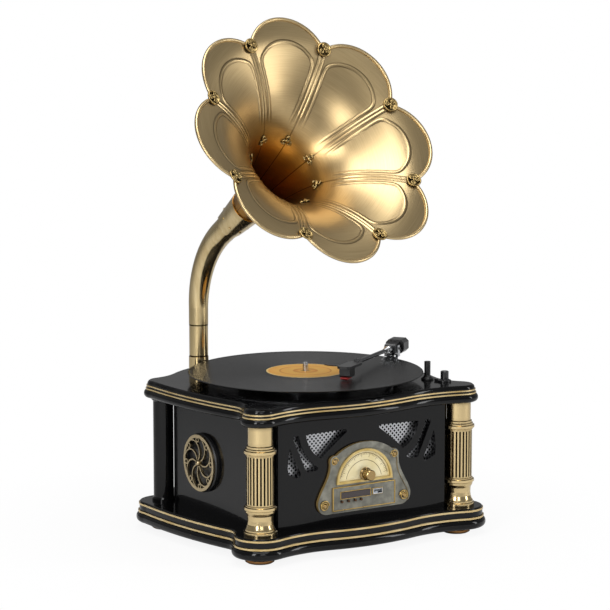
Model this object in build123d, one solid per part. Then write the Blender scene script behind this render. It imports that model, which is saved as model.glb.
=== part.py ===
"""Horn gramophone: moulded lacquered cabinet, turntable, radio plate and an eight-petal brass horn.

Millimetres, +Z up, the front faces -Y. Everything is drawn in the cabinet's frame (X = 0 on the
cabinet's centre plane, Z = 0 on the table) and then moved so that the origin is at the bottom
centre of the whole object's box.
"""
from build123d import *
from math import atan2, cos, degrees, hypot, radians, sin, sqrt, tan
import os

# Clearances
BODY_GAP = 0.3        # between pieces that move against each other
RUN_GAP = 0.05        # radial, a shaft in its bore
SLIP_GAP = 0.1        # between fixed pieces that slide together

# Cabinet plan: corner lobes round the posts, joined by serpentine edges
POST_X = 150.0        # post axes, left and right
POST_FRONT_Y = -149.0
POST_REAR_Y = 82.0
LOBE_R = 34.0
FRONT_EDGE_Y = -185.0     # middle of the front swell
FRONT_SWELL_R = 275.0
FRONT_DIP_R = 150.0
SIDE_EDGE_X = 184.5       # crown of the side swell
SIDE_SWELL_Y = 40.0
SIDE_SWELL_R = 620.0
SIDE_DIP_R = 28.0
REAR_EDGE_Y = 171.0
REAR_SWELL_R = 200.0
REAR_DIP_R = 45.0

# Cabinet heights
FOOT_H = 9.0
FOOT_R = 18.0
FOOT_X = 149.0
FOOT_Y_IN = 3.0           # feet stand this far inside the post axes
BASE_BEAD_H = 13.0
BASE_LINE_H = 2.4
BASE_COVE_H = 7.2
BASE_TOP_H = 4.4
CASE_H = 135.0
TOP_BEAD_H = 10.6
TOP_LINE_H = 1.8
TOP_COVE_H = 2.2
TOP_LAYER_H = 7.4
TOP_INSET = 11.0          # the top board is smaller than the base all round
LINE_DEPTH = 5.0          # how far the gilt lines reach into the moulding
LINE_GAP = 0.04           # above and below each gilt line

BASE_Z = FOOT_H
CASE_Z = BASE_Z + BASE_BEAD_H + BASE_LINE_H + BASE_COVE_H + BASE_TOP_H
DECK_Z = CASE_Z + CASE_H                      # underside of the top board
TOP_Z = DECK_Z + TOP_BEAD_H + TOP_LINE_H + TOP_COVE_H + TOP_LAYER_H

# Case walls
WALL = 9.0
SIDE_X = 147.0            # outer face of the side walls
FRONT_Y = -152.0          # outer face of the front panel
PANEL_HALF_W = 126.0
REAR_WALL_Y = 96.0
CORNER_CLEAR = 22.0       # the walls stop this far from a post's axis

# Front columns and rear posts
SHAFT_R = 15.4
DRUM_R = 17.2
RING_R = 20.2
COLUMN_FOOT_R = 20.8
FLUTES = 24
FLUTE_W = 2.2
FLUTE_DEPTH = 1.2
FLUTE_Z0 = 38.5           # above the column's foot
FLUTE_Z1 = 97.5
REAR_POST_R = 13.0

# Side medallions
MEDAL_R = 36.0
MEDAL_Y = -12.0
MEDAL_Z = CASE_Z + 65.0
MEDAL_PETALS = 8
BEZEL_T = 5.0
FILIGREE_T = 3.0

# Radio plate and dial
PLATE_T = 4.0
PLATE_RIM = 2.6
DIAL_R = 42.0
DIAL_Z = CASE_Z + 49.0
KNOB_Z = DIAL_Z + 10.0
KNOB_R = 6.8
KNOB_L = 17.0
SHAFT_HOLE_R = 3.0
WINDOW = (44.0, 8.0)      # display, width and height
WINDOW_X, WINDOW_Z = -14.0, CASE_Z + 35.0
USB = (14.0, 6.6)
USB_X, USB_Z = 19.0, CASE_Z + 35.0
BUTTON_XS = (-35.0, -25.0, -15.0, -6.0)
BUTTON_Z = CASE_Z + 27.3
BUTTON_R = 1.6
BUTTON_TRAVEL = 0.8

PLATE_SCREWS = ((45.0, CASE_Z + 79.0), (60.0, CASE_Z + 24.5))
SCREW_R = 1.5

# Rear sockets
INLET_X, INLET_Z = -80.0, CASE_Z + 25.0
INLET_W, INLET_H = 22.0, 16.0
SWITCH_X = -45.0
SWITCH_W, SWITCH_H = 19.0, 13.0
LINE_OUT_XS = (20.0, 38.0)
LINE_OUT_R = 5.0

# Turntable
SPINDLE_X, SPINDLE_Y = -2.0, -25.0
SPINDLE_R = 3.58
SPINDLE_NECK_R = 3.2      # inside the mat, record and label; the full radius starts above them
SPINDLE_TOP = 218.0
RECORD_R = 150.8
RECORD_T = 1.6
RECORD_TOP = 206.0
LABEL_R = 50.0
LABEL_T = 0.2
MAT_T = 1.0
PLATTER_R = 112.0
PLATTER_T = 3.4
HUB_R = 55.0              # belt runs on this hub under the platter
HUB_H = 5.2
BEARING_R = 4.0
BEARING_HOUSING_R = 8.5
BEARING_L = 42.0
BELT_T = 0.8
BELT_W = 3.6
PULLEY_R = 6.0
PULLEY_DX, PULLEY_DY = -62.0, 50.0    # motor from the spindle
MOTOR_R = 17.0
MOTOR_H = 24.0
MOTOR_SHAFT_R = 1.5

# Tonearm
ARM_X, ARM_Y = 157.0, 8.0
ARM_Z = 216.0
ARM_AIM = 217.0           # degrees from +X, the way the arm points
ARM_RISE = 2.0            # degrees, the arm climbs a little to the headshell
ARM_REACH = 196.0         # pivot to stylus
ARM_TUBE_R = 2.7
ARM_REST_X, ARM_REST_Y = 133.0, -104.0
SPEED_X, SPEED_Y = 142.0, -129.0

# Horn and its swan neck
TUBE_X, TUBE_Y = -70.0, 125.0
SOCKET_R = 12.9
SOCKET_TOP = 210.0
STEM_R = 12.3
STEM_TOP = 252.0
NECK_R0 = 12.6            # swan neck, where the bend starts
NECK_R1 = 16.6            # and where it enters the horn
NECK_WALL = 1.4
NECK_BEND_R = 125.0
HORN_AIM = 3.0            # degrees towards +X from straight ahead
HORN_TILT = 34.0          # degrees above level
HORN_REACH = 253.0        # tube axis to the middle of the bell, level
HORN_Z = 512.0            # height of that middle
HORN_ROLL = 17.2          # first notch, degrees
HORN_T = 1.5
PETALS = 8
NOTCH_R = 143.0
TIP_R = 172.0
BELL = ((16.3, -206.0), (20.4, -170.0), (30.5, -125.0), (47.0, -77.0),
        (75.0, -40.0), (110.0, -14.0), (143.0, 0.0), (174.0, 6.0))    # radius, depth
SEAM_W = 11.0
SEAM_T = 0.9
CLASP_R = 9.5
CLASP_T = 3.2
ORNAMENT_R = 5.0
ORNAMENT_LIFT = 0.4       # the disc's rim clears the curved throat
SLEEVE_Z0, SLEEVE_Z1 = -219.0, -168.0
SLEEVE_R0, SLEEVE_R1 = 18.1, 23.5
SLEEVE_T = 1.2
SLEEVE_LEAVES = 8

parts = {}


def disc(radius, height, x=0.0, y=0.0, z=0.0):
    """An upright cylinder standing on height z."""
    return Pos(x, y, z + height / 2) * Cylinder(radius, height)


def ring(outer, inner, height, x=0.0, y=0.0, z=0.0):
    return disc(outer, height, x, y, z) - disc(inner, height + 2, x, y, z - 1)


def block(x0, x1, y0, y1, z0, z1):
    return Pos((x0 + x1) / 2, (y0 + y1) / 2, (z0 + z1) / 2) * Box(x1 - x0, y1 - y0, z1 - z0)


def turned(points):
    """A solid of revolution about Z from (radius, height) points, closed along the axis."""
    z_low, z_high = points[0][1], points[-1][1]
    outline = Polyline((0, 0, z_low), *[(r, 0, z) for r, z in points], (0, 0, z_high), close=True)
    return revolve(make_face(outline), Axis.Z)


def tangent_centre(c1, r1, c2, r2, radius, side):
    """Centre of the circle of this radius that touches both circles from outside."""
    a, b = r1 + radius, r2 + radius
    dx, dy = c2[0] - c1[0], c2[1] - c1[1]
    d = hypot(dx, dy)
    along = (a * a - b * b + d * d) / (2 * d)
    off = side * sqrt(a * a - along * along)
    return (c1[0] + (along * dx - off * dy) / d, c1[1] + (along * dy + off * dx) / d)


def plan(offset=0.0):
    """The serpentine outline of the cabinet, moved outwards by offset, as a face on Z = 0."""
    front = ((0.0, FRONT_EDGE_Y + FRONT_SWELL_R), FRONT_SWELL_R)
    front_lobe = ((POST_X, POST_FRONT_Y), LOBE_R)
    side = ((SIDE_EDGE_X - SIDE_SWELL_R, SIDE_SWELL_Y), SIDE_SWELL_R)
    rear_lobe = ((POST_X, POST_REAR_Y), LOBE_R)
    rear = ((0.0, REAR_EDGE_Y - REAR_SWELL_R), REAR_SWELL_R)
    swells = [front, front_lobe, side, rear_lobe, rear]
    dips = []
    for one, two, radius in zip(swells, swells[1:], (FRONT_DIP_R, SIDE_DIP_R, SIDE_DIP_R, REAR_DIP_R)):
        dips.append((tangent_centre(one[0], one[1], two[0], two[1], radius, -1), radius))

    def point(centre, radius, towards):
        dx, dy = towards[0] - centre[0], towards[1] - centre[1]
        d = hypot(dx, dy)
        return (centre[0] + radius * dx / d, centre[1] + radius * dy / d)

    def arc(centre, radius, start, end):
        middle = ((start[0] + end[0]) / 2, (start[1] + end[1]) / 2)
        return ThreePointArc(start, point(centre, radius, middle), end)

    edges = []
    for i, (centre, radius) in enumerate(swells):
        grown = radius + offset
        start = point(centre, grown, dips[i - 1][0]) if i else (0.0, centre[1] - grown)
        end = point(centre, grown, dips[i][0]) if i < len(dips) else (0.0, centre[1] + grown)
        edges.append(arc(centre, grown, start, end))
        if i < len(dips):
            dip_centre, dip_radius = dips[i][0], dips[i][1] - offset
            far = point(dip_centre, dip_radius, swells[i + 1][0])
            edges.append(arc(dip_centre, dip_radius, end, far))
    half = [edge.edge() for edge in edges]
    return make_face(Wire(half + [mirror(edge, Plane.YZ).edge() for edge in half]))


def slab(offset, z, height):
    return Pos(0, 0, z) * extrude(plan(offset), height)


def softened(solid, z_values, radius):
    """Round the outline edges that lie at these heights."""
    edges = [e for e in solid.edges() if any(abs(e.center().Z - z) < 0.01 for z in z_values)
             and e.bounding_box().size.Z < 0.01]
    return fillet(edges, radius)


def moulded_board(z, inset, bead_h, line_h, cove_h, layer_h, layer_round):
    """Bead, gilt line, cove, gilt line, upper layer. Returns the board and its two gilt lines."""
    z1 = z + bead_h
    z2 = z1 + line_h
    z3 = z2 + cove_h
    z4 = z3 + line_h
    top = z3 + layer_h
    bead = softened(slab(1.5 - inset, z, bead_h), (z, z1), bead_h * 0.46)
    core = slab(-inset - LINE_DEPTH - 1.0, z1, top - z1)
    cove = slab(-inset - 2.6, z2, cove_h)
    layer = softened(slab(-inset - 3.0, z4, top - z4), (top,), layer_round)
    board = bead + core + cove + layer
    lines = []
    for z_line, out in ((z1, -inset - 0.8), (z3, -inset - 1.8)):
        outer = slab(out, z_line + LINE_GAP, line_h - 2 * LINE_GAP)
        lines.append(outer - slab(-inset - LINE_DEPTH - 1.0 + SLIP_GAP, z_line - 1, line_h + 2))
    return board, Compound(children=[line.solid() for line in lines])


def base_and_feet():
    board, lines = moulded_board(BASE_Z, 0.0, BASE_BEAD_H, BASE_LINE_H, BASE_COVE_H, BASE_TOP_H, 1.6)
    parts["plinth"] = board
    parts["plinth_gilt_lines"] = lines
    feet = []
    profile = [(FOOT_R - 2.5, 0.0), (FOOT_R, 1.5), (FOOT_R, 4.5), (FOOT_R - 3.0, 6.0), (FOOT_R - 3.0, FOOT_H)]
    for x in (-FOOT_X, FOOT_X):
        for y in (POST_FRONT_Y + FOOT_Y_IN, POST_REAR_Y - FOOT_Y_IN):
            feet.append((Pos(x, y, 0) * turned(profile)).solid())
    parts["feet"] = Compound(children=feet)


def case_walls():
    """Four walls that meet at the post corners, with the front panel cut for its two grilles."""
    z0, z1 = CASE_Z, DECK_Z
    rear_end = POST_REAR_Y - CORNER_CLEAR
    front_end = POST_FRONT_Y + CORNER_CLEAR
    walls = []
    for sign in (-1, 1):
        x0, x1 = sorted((sign * SIDE_X, sign * (SIDE_X - WALL)))
        walls.append(block(x0, x1, front_end, rear_end, z0, z1).solid())
    parts["side_walls"] = Compound(children=walls)
    front = block(-PANEL_HALF_W, PANEL_HALF_W, FRONT_Y, FRONT_Y + WALL, z0, z1)
    for x_sign in (-1, 1):
        for outline in grille_cutouts(x_sign):
            front -= extrude(Plane((0, FRONT_Y - 1, 0), x_dir=(1, 0, 0), z_dir=(0, -1, 0)) * outline,
                             -(WALL + 2))
    front -= Pos(0, FRONT_Y + WALL / 2, KNOB_Z) * Rot(90, 0, 0) * Cylinder(SHAFT_HOLE_R + 2, WALL + 2)
    front -= block(USB_X - USB[0] / 2 - 1, USB_X + USB[0] / 2 + 1, FRONT_Y - 1, FRONT_Y + WALL + 1,
                   USB_Z - USB[1] / 2 - 1, USB_Z + USB[1] / 2 + 1)
    front -= block(BUTTON_XS[0] - 4, BUTTON_XS[-1] + 4, FRONT_Y - 1, FRONT_Y + WALL + 1,
                   BUTTON_Z - 3, BUTTON_Z + 3)
    for x, z in PLATE_SCREWS:
        for s in (-1, 1):
            front -= Pos(s * x, FRONT_Y, z) * Rot(90, 0, 0) * Cylinder(SCREW_R + SLIP_GAP, 2 * WALL + 2)
    parts["front_panel"] = front
    # Dark uprights that close the corners behind the posts
    uprights = []
    for x_sign in (-1, 1):
        for y_post, y_sign in ((POST_FRONT_Y, 1), (POST_REAR_Y, -1)):
            x_in, x_out = PANEL_HALF_W - WALL, SIDE_X - WALL - SLIP_GAP
            y_wall = y_post + y_sign * CORNER_CLEAR
            y_a = FRONT_Y + WALL + SLIP_GAP if y_sign > 0 else REAR_WALL_Y - WALL - SLIP_GAP
            y_b = y_wall + y_sign * WALL
            xs = sorted((x_sign * x_in, x_sign * x_out))
            ys = sorted((y_a, y_b))
            post = block(xs[0], xs[1], ys[0], ys[1], z0, z1)
            post -= disc(RING_R + 1.0, CASE_H + 2, x_sign * POST_X, y_post, z0 - 1)
            uprights.append(post.solid())
    parts["corner_uprights"] = Compound(children=uprights)
    rear = block(-PANEL_HALF_W, PANEL_HALF_W, REAR_WALL_Y - WALL, REAR_WALL_Y, z0, z1)
    rear -= Pos(INLET_X, REAR_WALL_Y, INLET_Z) * Box(INLET_W + 1, 2 * WALL + 2, INLET_H + 1)
    rear -= Pos(SWITCH_X, REAR_WALL_Y, INLET_Z) * Box(SWITCH_W + 1, 2 * WALL + 2, SWITCH_H + 1)
    for x in LINE_OUT_XS:
        rear -= Pos(x, REAR_WALL_Y - WALL / 2, INLET_Z) * Rot(90, 0, 0) * Cylinder(LINE_OUT_R + 0.2, WALL + 2)
    parts["rear_wall"] = rear


def grille_cutouts(sign):
    """Three leaf-shaped openings to one side of the radio plate, in front-panel X and Z."""
    outer = Polyline((-109, 138), (-106, 131), (-93, 105)) + ThreePointArc((-93, 105), (-95, 100.5), (-99, 100))
    outer += Polyline((-99, 100), (-111, 106), (-112, 113), (-110.5, 130), (-109, 138))
    middle = Polyline((-104, 149), (-102.5, 152.5), (-96, 152.5)) + Spline(
        (-96, 152.5), (-92, 140), (-80.5, 121), (-67, 109.5))
    middle += Polyline((-67, 109.5), (-68, 106.5), (-84, 105.5)) + Spline((-84, 105.5), (-94, 127), (-104, 149))
    inner = Polyline((-85, 151), (-83.5, 152.5), (-27, 153.5)) + ThreePointArc(
        (-27, 153.5), (-24.5, 151.6), (-25.8, 149))
    inner += Spline((-25.8, 149), (-46, 133.5), (-61, 120)) + Spline((-61, 120), (-74, 129), (-85, 151))
    faces = []
    for edges in (outer, middle, inner):
        face = make_face(Wire(edges.edges()))
        faces.append(face if sign < 0 else mirror(face, Plane.YZ))
    return faces


def columns():
    """Two turned brass columns with a fluted drum between rings."""
    top = CASE_H
    profile = [(COLUMN_FOOT_R, 0.0), (COLUMN_FOOT_R, 4.0), (19.0, 5.0), (19.0, 6.5), (17.6, 8.5),
               (16.2, 13.0), (15.7, 18.0), (16.2, 24.0), (18.3, 28.0), (18.3, 30.5), (RING_R, 31.5),
               (RING_R, 34.5), (18.4, 35.5), (18.4, 36.5), (DRUM_R, FLUTE_Z0 - 1.5), (DRUM_R, FLUTE_Z1 + 1.5),
               (18.4, 99.5), (18.4, 100.5), (RING_R, 101.5), (RING_R, 104.5), (18.3, 105.5), (18.3, 107.0),
               (16.9, 108.0), (16.9, 110.0), (SHAFT_R, 111.0), (SHAFT_R, top)]
    column = turned(profile)
    groove_len = FLUTE_Z1 - FLUTE_Z0
    for i in range(FLUTES):
        groove = Pos(DRUM_R, 0, (FLUTE_Z0 + FLUTE_Z1) / 2) * Box(2 * FLUTE_DEPTH, FLUTE_W, groove_len)
        column -= Rot(0, 0, 360 / FLUTES * i) * groove
    pair = [(Pos(x, POST_FRONT_Y, CASE_Z) * column).solid() for x in (-POST_X, POST_X)]
    parts["front_columns"] = Compound(children=pair)
    posts = []
    for x in (-POST_X, POST_X):
        rear_post = turned([(REAR_POST_R + 2, 0), (REAR_POST_R + 2, 3), (REAR_POST_R, 5),
                            (REAR_POST_R, top - 5), (REAR_POST_R + 2, top - 3), (REAR_POST_R + 2, top)])
        posts.append((Pos(x, POST_REAR_Y, CASE_Z) * rear_post).solid())
    parts["rear_posts"] = Compound(children=posts)


def rear_sockets():
    y = REAR_WALL_Y
    body = block(-INLET_W / 2, INLET_W / 2, -14, 0, -INLET_H / 2, INLET_H / 2)
    flange = block(-INLET_W / 2 - 4, INLET_W / 2 + 4, 0, 1.6, -INLET_H / 2 - 3, INLET_H / 2 + 3)
    slot = SlotOverall(15.0, 8.4)
    cavity = Pos(0, 1.7, 0) * Rot(90, 0, 0) * extrude(slot, 12.0)
    parts["power_inlet"] = Pos(INLET_X, y, INLET_Z) * (body + flange - cavity)
    frame = block(-SWITCH_W / 2, SWITCH_W / 2, -10, 0, -SWITCH_H / 2, SWITCH_H / 2)
    frame += block(-SWITCH_W / 2 - 1.5, SWITCH_W / 2 + 1.5, 0, 1.5, -SWITCH_H / 2 - 1.5, SWITCH_H / 2 + 1.5)
    frame -= block(-SWITCH_W / 2 + 1.5, SWITCH_W / 2 - 1.5, -8.5, 2, -SWITCH_H / 2 + 1.5, SWITCH_H / 2 - 1.5)
    pin = Rot(90, 0, 0) * Cylinder(1.2, SWITCH_H - 3)
    pin = Rot(90, 0, 0) * pin
    parts["switch_frame"] = Pos(SWITCH_X, y, INLET_Z) * (frame + Pos(0, -3, 0) * pin)
    half_w, half_h = SWITCH_W / 2 - 2.4, SWITCH_H / 2 - 1.5 - BODY_GAP
    outline = Polyline((-half_w, -5.2), (half_w, -5.2), (half_w, 1.6), (0, -0.6), (-half_w, 1.6), close=True)
    rocker = Pos(0, 0, -half_h) * extrude(make_face(outline), 2 * half_h)
    rocker -= Pos(0, -3, 0) * Cylinder(1.2 + RUN_GAP, SWITCH_H)
    parts["power_switch"] = Pos(SWITCH_X, y, INLET_Z) * rocker
    jacks = []
    for x in LINE_OUT_XS:
        jack = turned([(LINE_OUT_R, -12.0), (LINE_OUT_R, 0), (LINE_OUT_R + 2, 0), (LINE_OUT_R + 2, 1.5),
                       (4.2, 1.5), (4.2, 8.0)])
        jack -= Pos(0, 0, 2.0) * Cylinder(1.6, 14.0)
        jacks.append((Pos(x, y, INLET_Z) * Rot(-90, 0, 0) * jack).solid())
    parts["line_out_jacks"] = Compound(children=jacks)


def medallions():
    """Black turned bezel with a pierced brass rose of swirling petals."""
    hub_r = 4.6
    inner_r = MEDAL_R - 4.0
    rose = ring(MEDAL_R, inner_r, FILIGREE_T)
    bar = 1.5
    for i in range(MEDAL_PETALS):
        start, end = 360 / MEDAL_PETALS * i, 360 / MEDAL_PETALS * i + 48
        mid = (start + end) / 2 - 26
        arc = ThreePointArc((hub_r * 0.8 * cos(radians(start)), hub_r * 0.8 * sin(radians(start))),
                            (0.55 * MEDAL_R * cos(radians(mid)), 0.55 * MEDAL_R * sin(radians(mid))),
                            ((inner_r + 1) * cos(radians(end)), (inner_r + 1) * sin(radians(end))))
        rose += extrude(trace(arc, bar), FILIGREE_T)
        a = radians(end + 2)
        rose += ring(3.6, 2.2, FILIGREE_T, (inner_r - 2.4) * cos(a), (inner_r - 2.4) * sin(a))
    rose += disc(hub_r, FILIGREE_T)
    rose += Pos(0, 0, FILIGREE_T) * Sphere(hub_r - 0.8)
    rose -= disc(MEDAL_R, hub_r + 2, z=-hub_r - 2)
    bezel = turned([(MEDAL_R + 1.5, 0), (MEDAL_R + 1.5, BEZEL_T - 1.5), (MEDAL_R, BEZEL_T)])
    bezel -= disc(inner_r - 1.0, BEZEL_T, z=2.0)
    bezels, roses = [], []
    for sign in (-1, 1):
        seat = Plane((sign * SIDE_X, MEDAL_Y, MEDAL_Z), x_dir=(0, sign, 0), z_dir=(sign, 0, 0))
        bezels.append((seat * bezel).solid())
        roses.append((seat * (Pos(0, 0, BEZEL_T) * rose)).solid())
    parts["medallion_bezels"] = Compound(children=bezels)
    parts["medallions"] = Compound(children=roses)


def radio():
    """Cast plate on the front panel with its half-moon dial, knob, display, socket and buttons."""
    face = Plane((0, FRONT_Y, 0), x_dir=(1, 0, 0), z_dir=(0, -1, 0))
    z0 = CASE_Z
    right = (Line((0, z0 + 13), (54, z0 + 13)) + ThreePointArc((54, z0 + 13), (68, z0 + 20), (69.5, z0 + 31))
             + Spline((69.5, z0 + 31), (61, z0 + 48), (52.5, z0 + 66), (51.5, z0 + 77))
             + ThreePointArc((51.5, z0 + 77), (49.5, z0 + 84), (42.5, z0 + 86))
             + ThreePointArc((42.5, z0 + 86), (22, z0 + 96.5), (0, z0 + 99.5)))
    edges = right.edges()
    outline = make_face(Wire([*edges, *[mirror(e, Plane.YZ).edge() for e in edges]]))
    size, middle = outline.bounding_box().size, outline.bounding_box().center()
    shrink = (1 - 2 * PLATE_RIM / size.X, 1 - 2 * PLATE_RIM / size.Y, 1)
    field = Pos(middle.X, middle.Y, 0) * scale(Pos(-middle.X, -middle.Y, 0) * outline, shrink)
    plate = extrude(outline, PLATE_T) - Pos(0, 0, PLATE_T - 1.2) * extrude(field, 5)
    for x, z in PLATE_SCREWS:
        for s in (-1, 1):
            plate += Pos(s * x, z, PLATE_T / 2) * Cylinder(PLATE_RIM + 2.6, PLATE_T)
    plate = plate & extrude(outline, PLATE_T)
    dial_hole = half_moon(DIAL_R)
    plate -= Pos(0, 0, -1) * extrude(dial_hole, PLATE_T + 2)
    panel_w, panel_h = 94.0, 30.0
    panel = Pos(-1, z0 + 31, PLATE_T - 0.6) * Box(panel_w, panel_h, 1.6)
    plate += panel
    plate -= Pos(WINDOW_X, WINDOW_Z, 0) * Box(WINDOW[0], WINDOW[1], 30)
    plate -= Pos(USB_X, USB_Z, 0) * Box(USB[0], USB[1], 30)
    for x in BUTTON_XS:
        plate -= Pos(x, BUTTON_Z, 0) * Cylinder(BUTTON_R + BODY_GAP, 30)
    for x, z in PLATE_SCREWS:
        for s in (-1, 1):
            plate -= Pos(s * x, z, 0) * Cylinder(1.6, 30)
    parts["radio_plate"] = face * plate

    rim = extrude(half_moon(DIAL_R - SLIP_GAP), PLATE_T + 1.0) - Pos(0, 0, -1) * extrude(
        half_moon(DIAL_R - 3.0), PLATE_T + 4.0)
    parts["dial_rim"] = face * rim
    dial = extrude(half_moon(DIAL_R - 3.0 - SLIP_GAP), 2.0)
    dial -= Pos(0, KNOB_Z, 0) * Cylinder(SHAFT_HOLE_R + RUN_GAP, 30)
    parts["dial_face"] = face * dial
    flange_z = PLATE_T + 1.0 + BODY_GAP
    knob = turned([(5.0, 2.0 + BODY_GAP), (5.0, flange_z), (KNOB_R + 1.6, flange_z), (KNOB_R + 1.6, flange_z + 1.5),
                   (KNOB_R, flange_z + 2.5), (KNOB_R, 1 + KNOB_L), (KNOB_R - 0.8, 2 + KNOB_L)])
    for i in range(18):
        groove = Pos(KNOB_R, 0, (flange_z + 3.0 + KNOB_L) / 2) * Box(0.9, 0.8, KNOB_L - flange_z - 3.0)
        knob -= Rot(0, 0, 20 * i) * groove
    knob += Pos(0, 0, -8) * Cylinder(SHAFT_HOLE_R, 24)
    parts["tuning_knob"] = face * (Pos(0, KNOB_Z, 0) * knob)
    window = Pos(WINDOW_X, WINDOW_Z, PLATE_T / 2 + 0.4) * Box(
        WINDOW[0] - 2 * SLIP_GAP, WINDOW[1] - 2 * SLIP_GAP, PLATE_T + 0.8)
    parts["display_window"] = face * window
    shell = Pos(USB_X, USB_Z, -3.2) * Box(USB[0] - 2 * SLIP_GAP, USB[1] - 2 * SLIP_GAP, 17.6)
    shell -= Pos(USB_X, USB_Z, -0.7) * Box(USB[0] - 1.4, USB[1] - 1.4, 14.6)
    parts["usb_socket"] = face * shell
    button = turned([(BUTTON_R + 0.9, -6.0), (BUTTON_R + 0.9, -0.4 - BUTTON_TRAVEL), (BUTTON_R, -0.4 - BUTTON_TRAVEL),
                     (BUTTON_R, PLATE_T + 2.6), (BUTTON_R - 0.4, PLATE_T + 3.0)])
    for i, x in enumerate(BUTTON_XS):
        parts[f"radio_button_{i + 1}"] = face * (Pos(x, BUTTON_Z, 0) * button)
    board = Pos(0, KNOB_Z - 14, -WALL - 6.0) * Box(68, 50, 1.6)
    board += Pos(0, KNOB_Z, -WALL - 11.0) * Cylinder(8.5, 8.4)
    board -= Pos(0, KNOB_Z, -WALL - 6.0) * Cylinder(SHAFT_HOLE_R + RUN_GAP, 28)
    for x in (-28, 28):
        board += Pos(x, KNOB_Z - 9, -WALL - 2.6) * Cylinder(3, 5.2)
    parts["radio_board"] = face * board
    screws = []
    for x, z in PLATE_SCREWS:
        for s in (-1, 1):
            screw = turned([(SCREW_R, -5), (SCREW_R, PLATE_T + 0.1), (3.2, PLATE_T + 0.1), (2.2, PLATE_T + 1.6)])
            screws.append((face * (Pos(s * x, z, 0) * screw)).solid())
    parts["plate_screws"] = Compound(children=screws)


def half_moon(radius):
    """The upper half of a disc about the dial centre, in face X and height."""
    inset = DIAL_R - radius
    half = sqrt(radius * radius - inset * inset)
    base = Line((-half, DIAL_Z + inset), (half, DIAL_Z + inset))
    bow = ThreePointArc((half, DIAL_Z + inset), (0, DIAL_Z + radius), (-half, DIAL_Z + inset))
    return make_face(Wire([base.edge(), bow.edge()]))


def speakers():
    """Mesh behind each group of openings, and the loudspeaker behind the mesh."""
    meshes, drivers = [], []
    for sign in (-1, 1):
        x0, x1 = sorted((sign * 114.0, sign * 20.0))
        y = FRONT_Y + WALL
        meshes.append(block(x0, x1, y + SLIP_GAP, y + SLIP_GAP + 1.2, CASE_Z + 60, CASE_Z + 122).solid())
        body = turned([(38.0, 0.0), (38.0, 3.0), (36.0, 4.0), (22.0, 20.0), (22.0, 34.0)])
        cone = turned([(34.0, -0.5), (34.0, 1.0), (11.0, 15.0), (11.0, 15.5)])
        seat = Plane((sign * 74.0, y + SLIP_GAP + 1.2, CASE_Z + 85), x_dir=(1, 0, 0), z_dir=(0, 1, 0))
        drivers.append((seat * (body - cone)).solid())
    parts["grille_meshes"] = Compound(children=meshes)
    parts["speakers"] = Compound(children=drivers)


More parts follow.
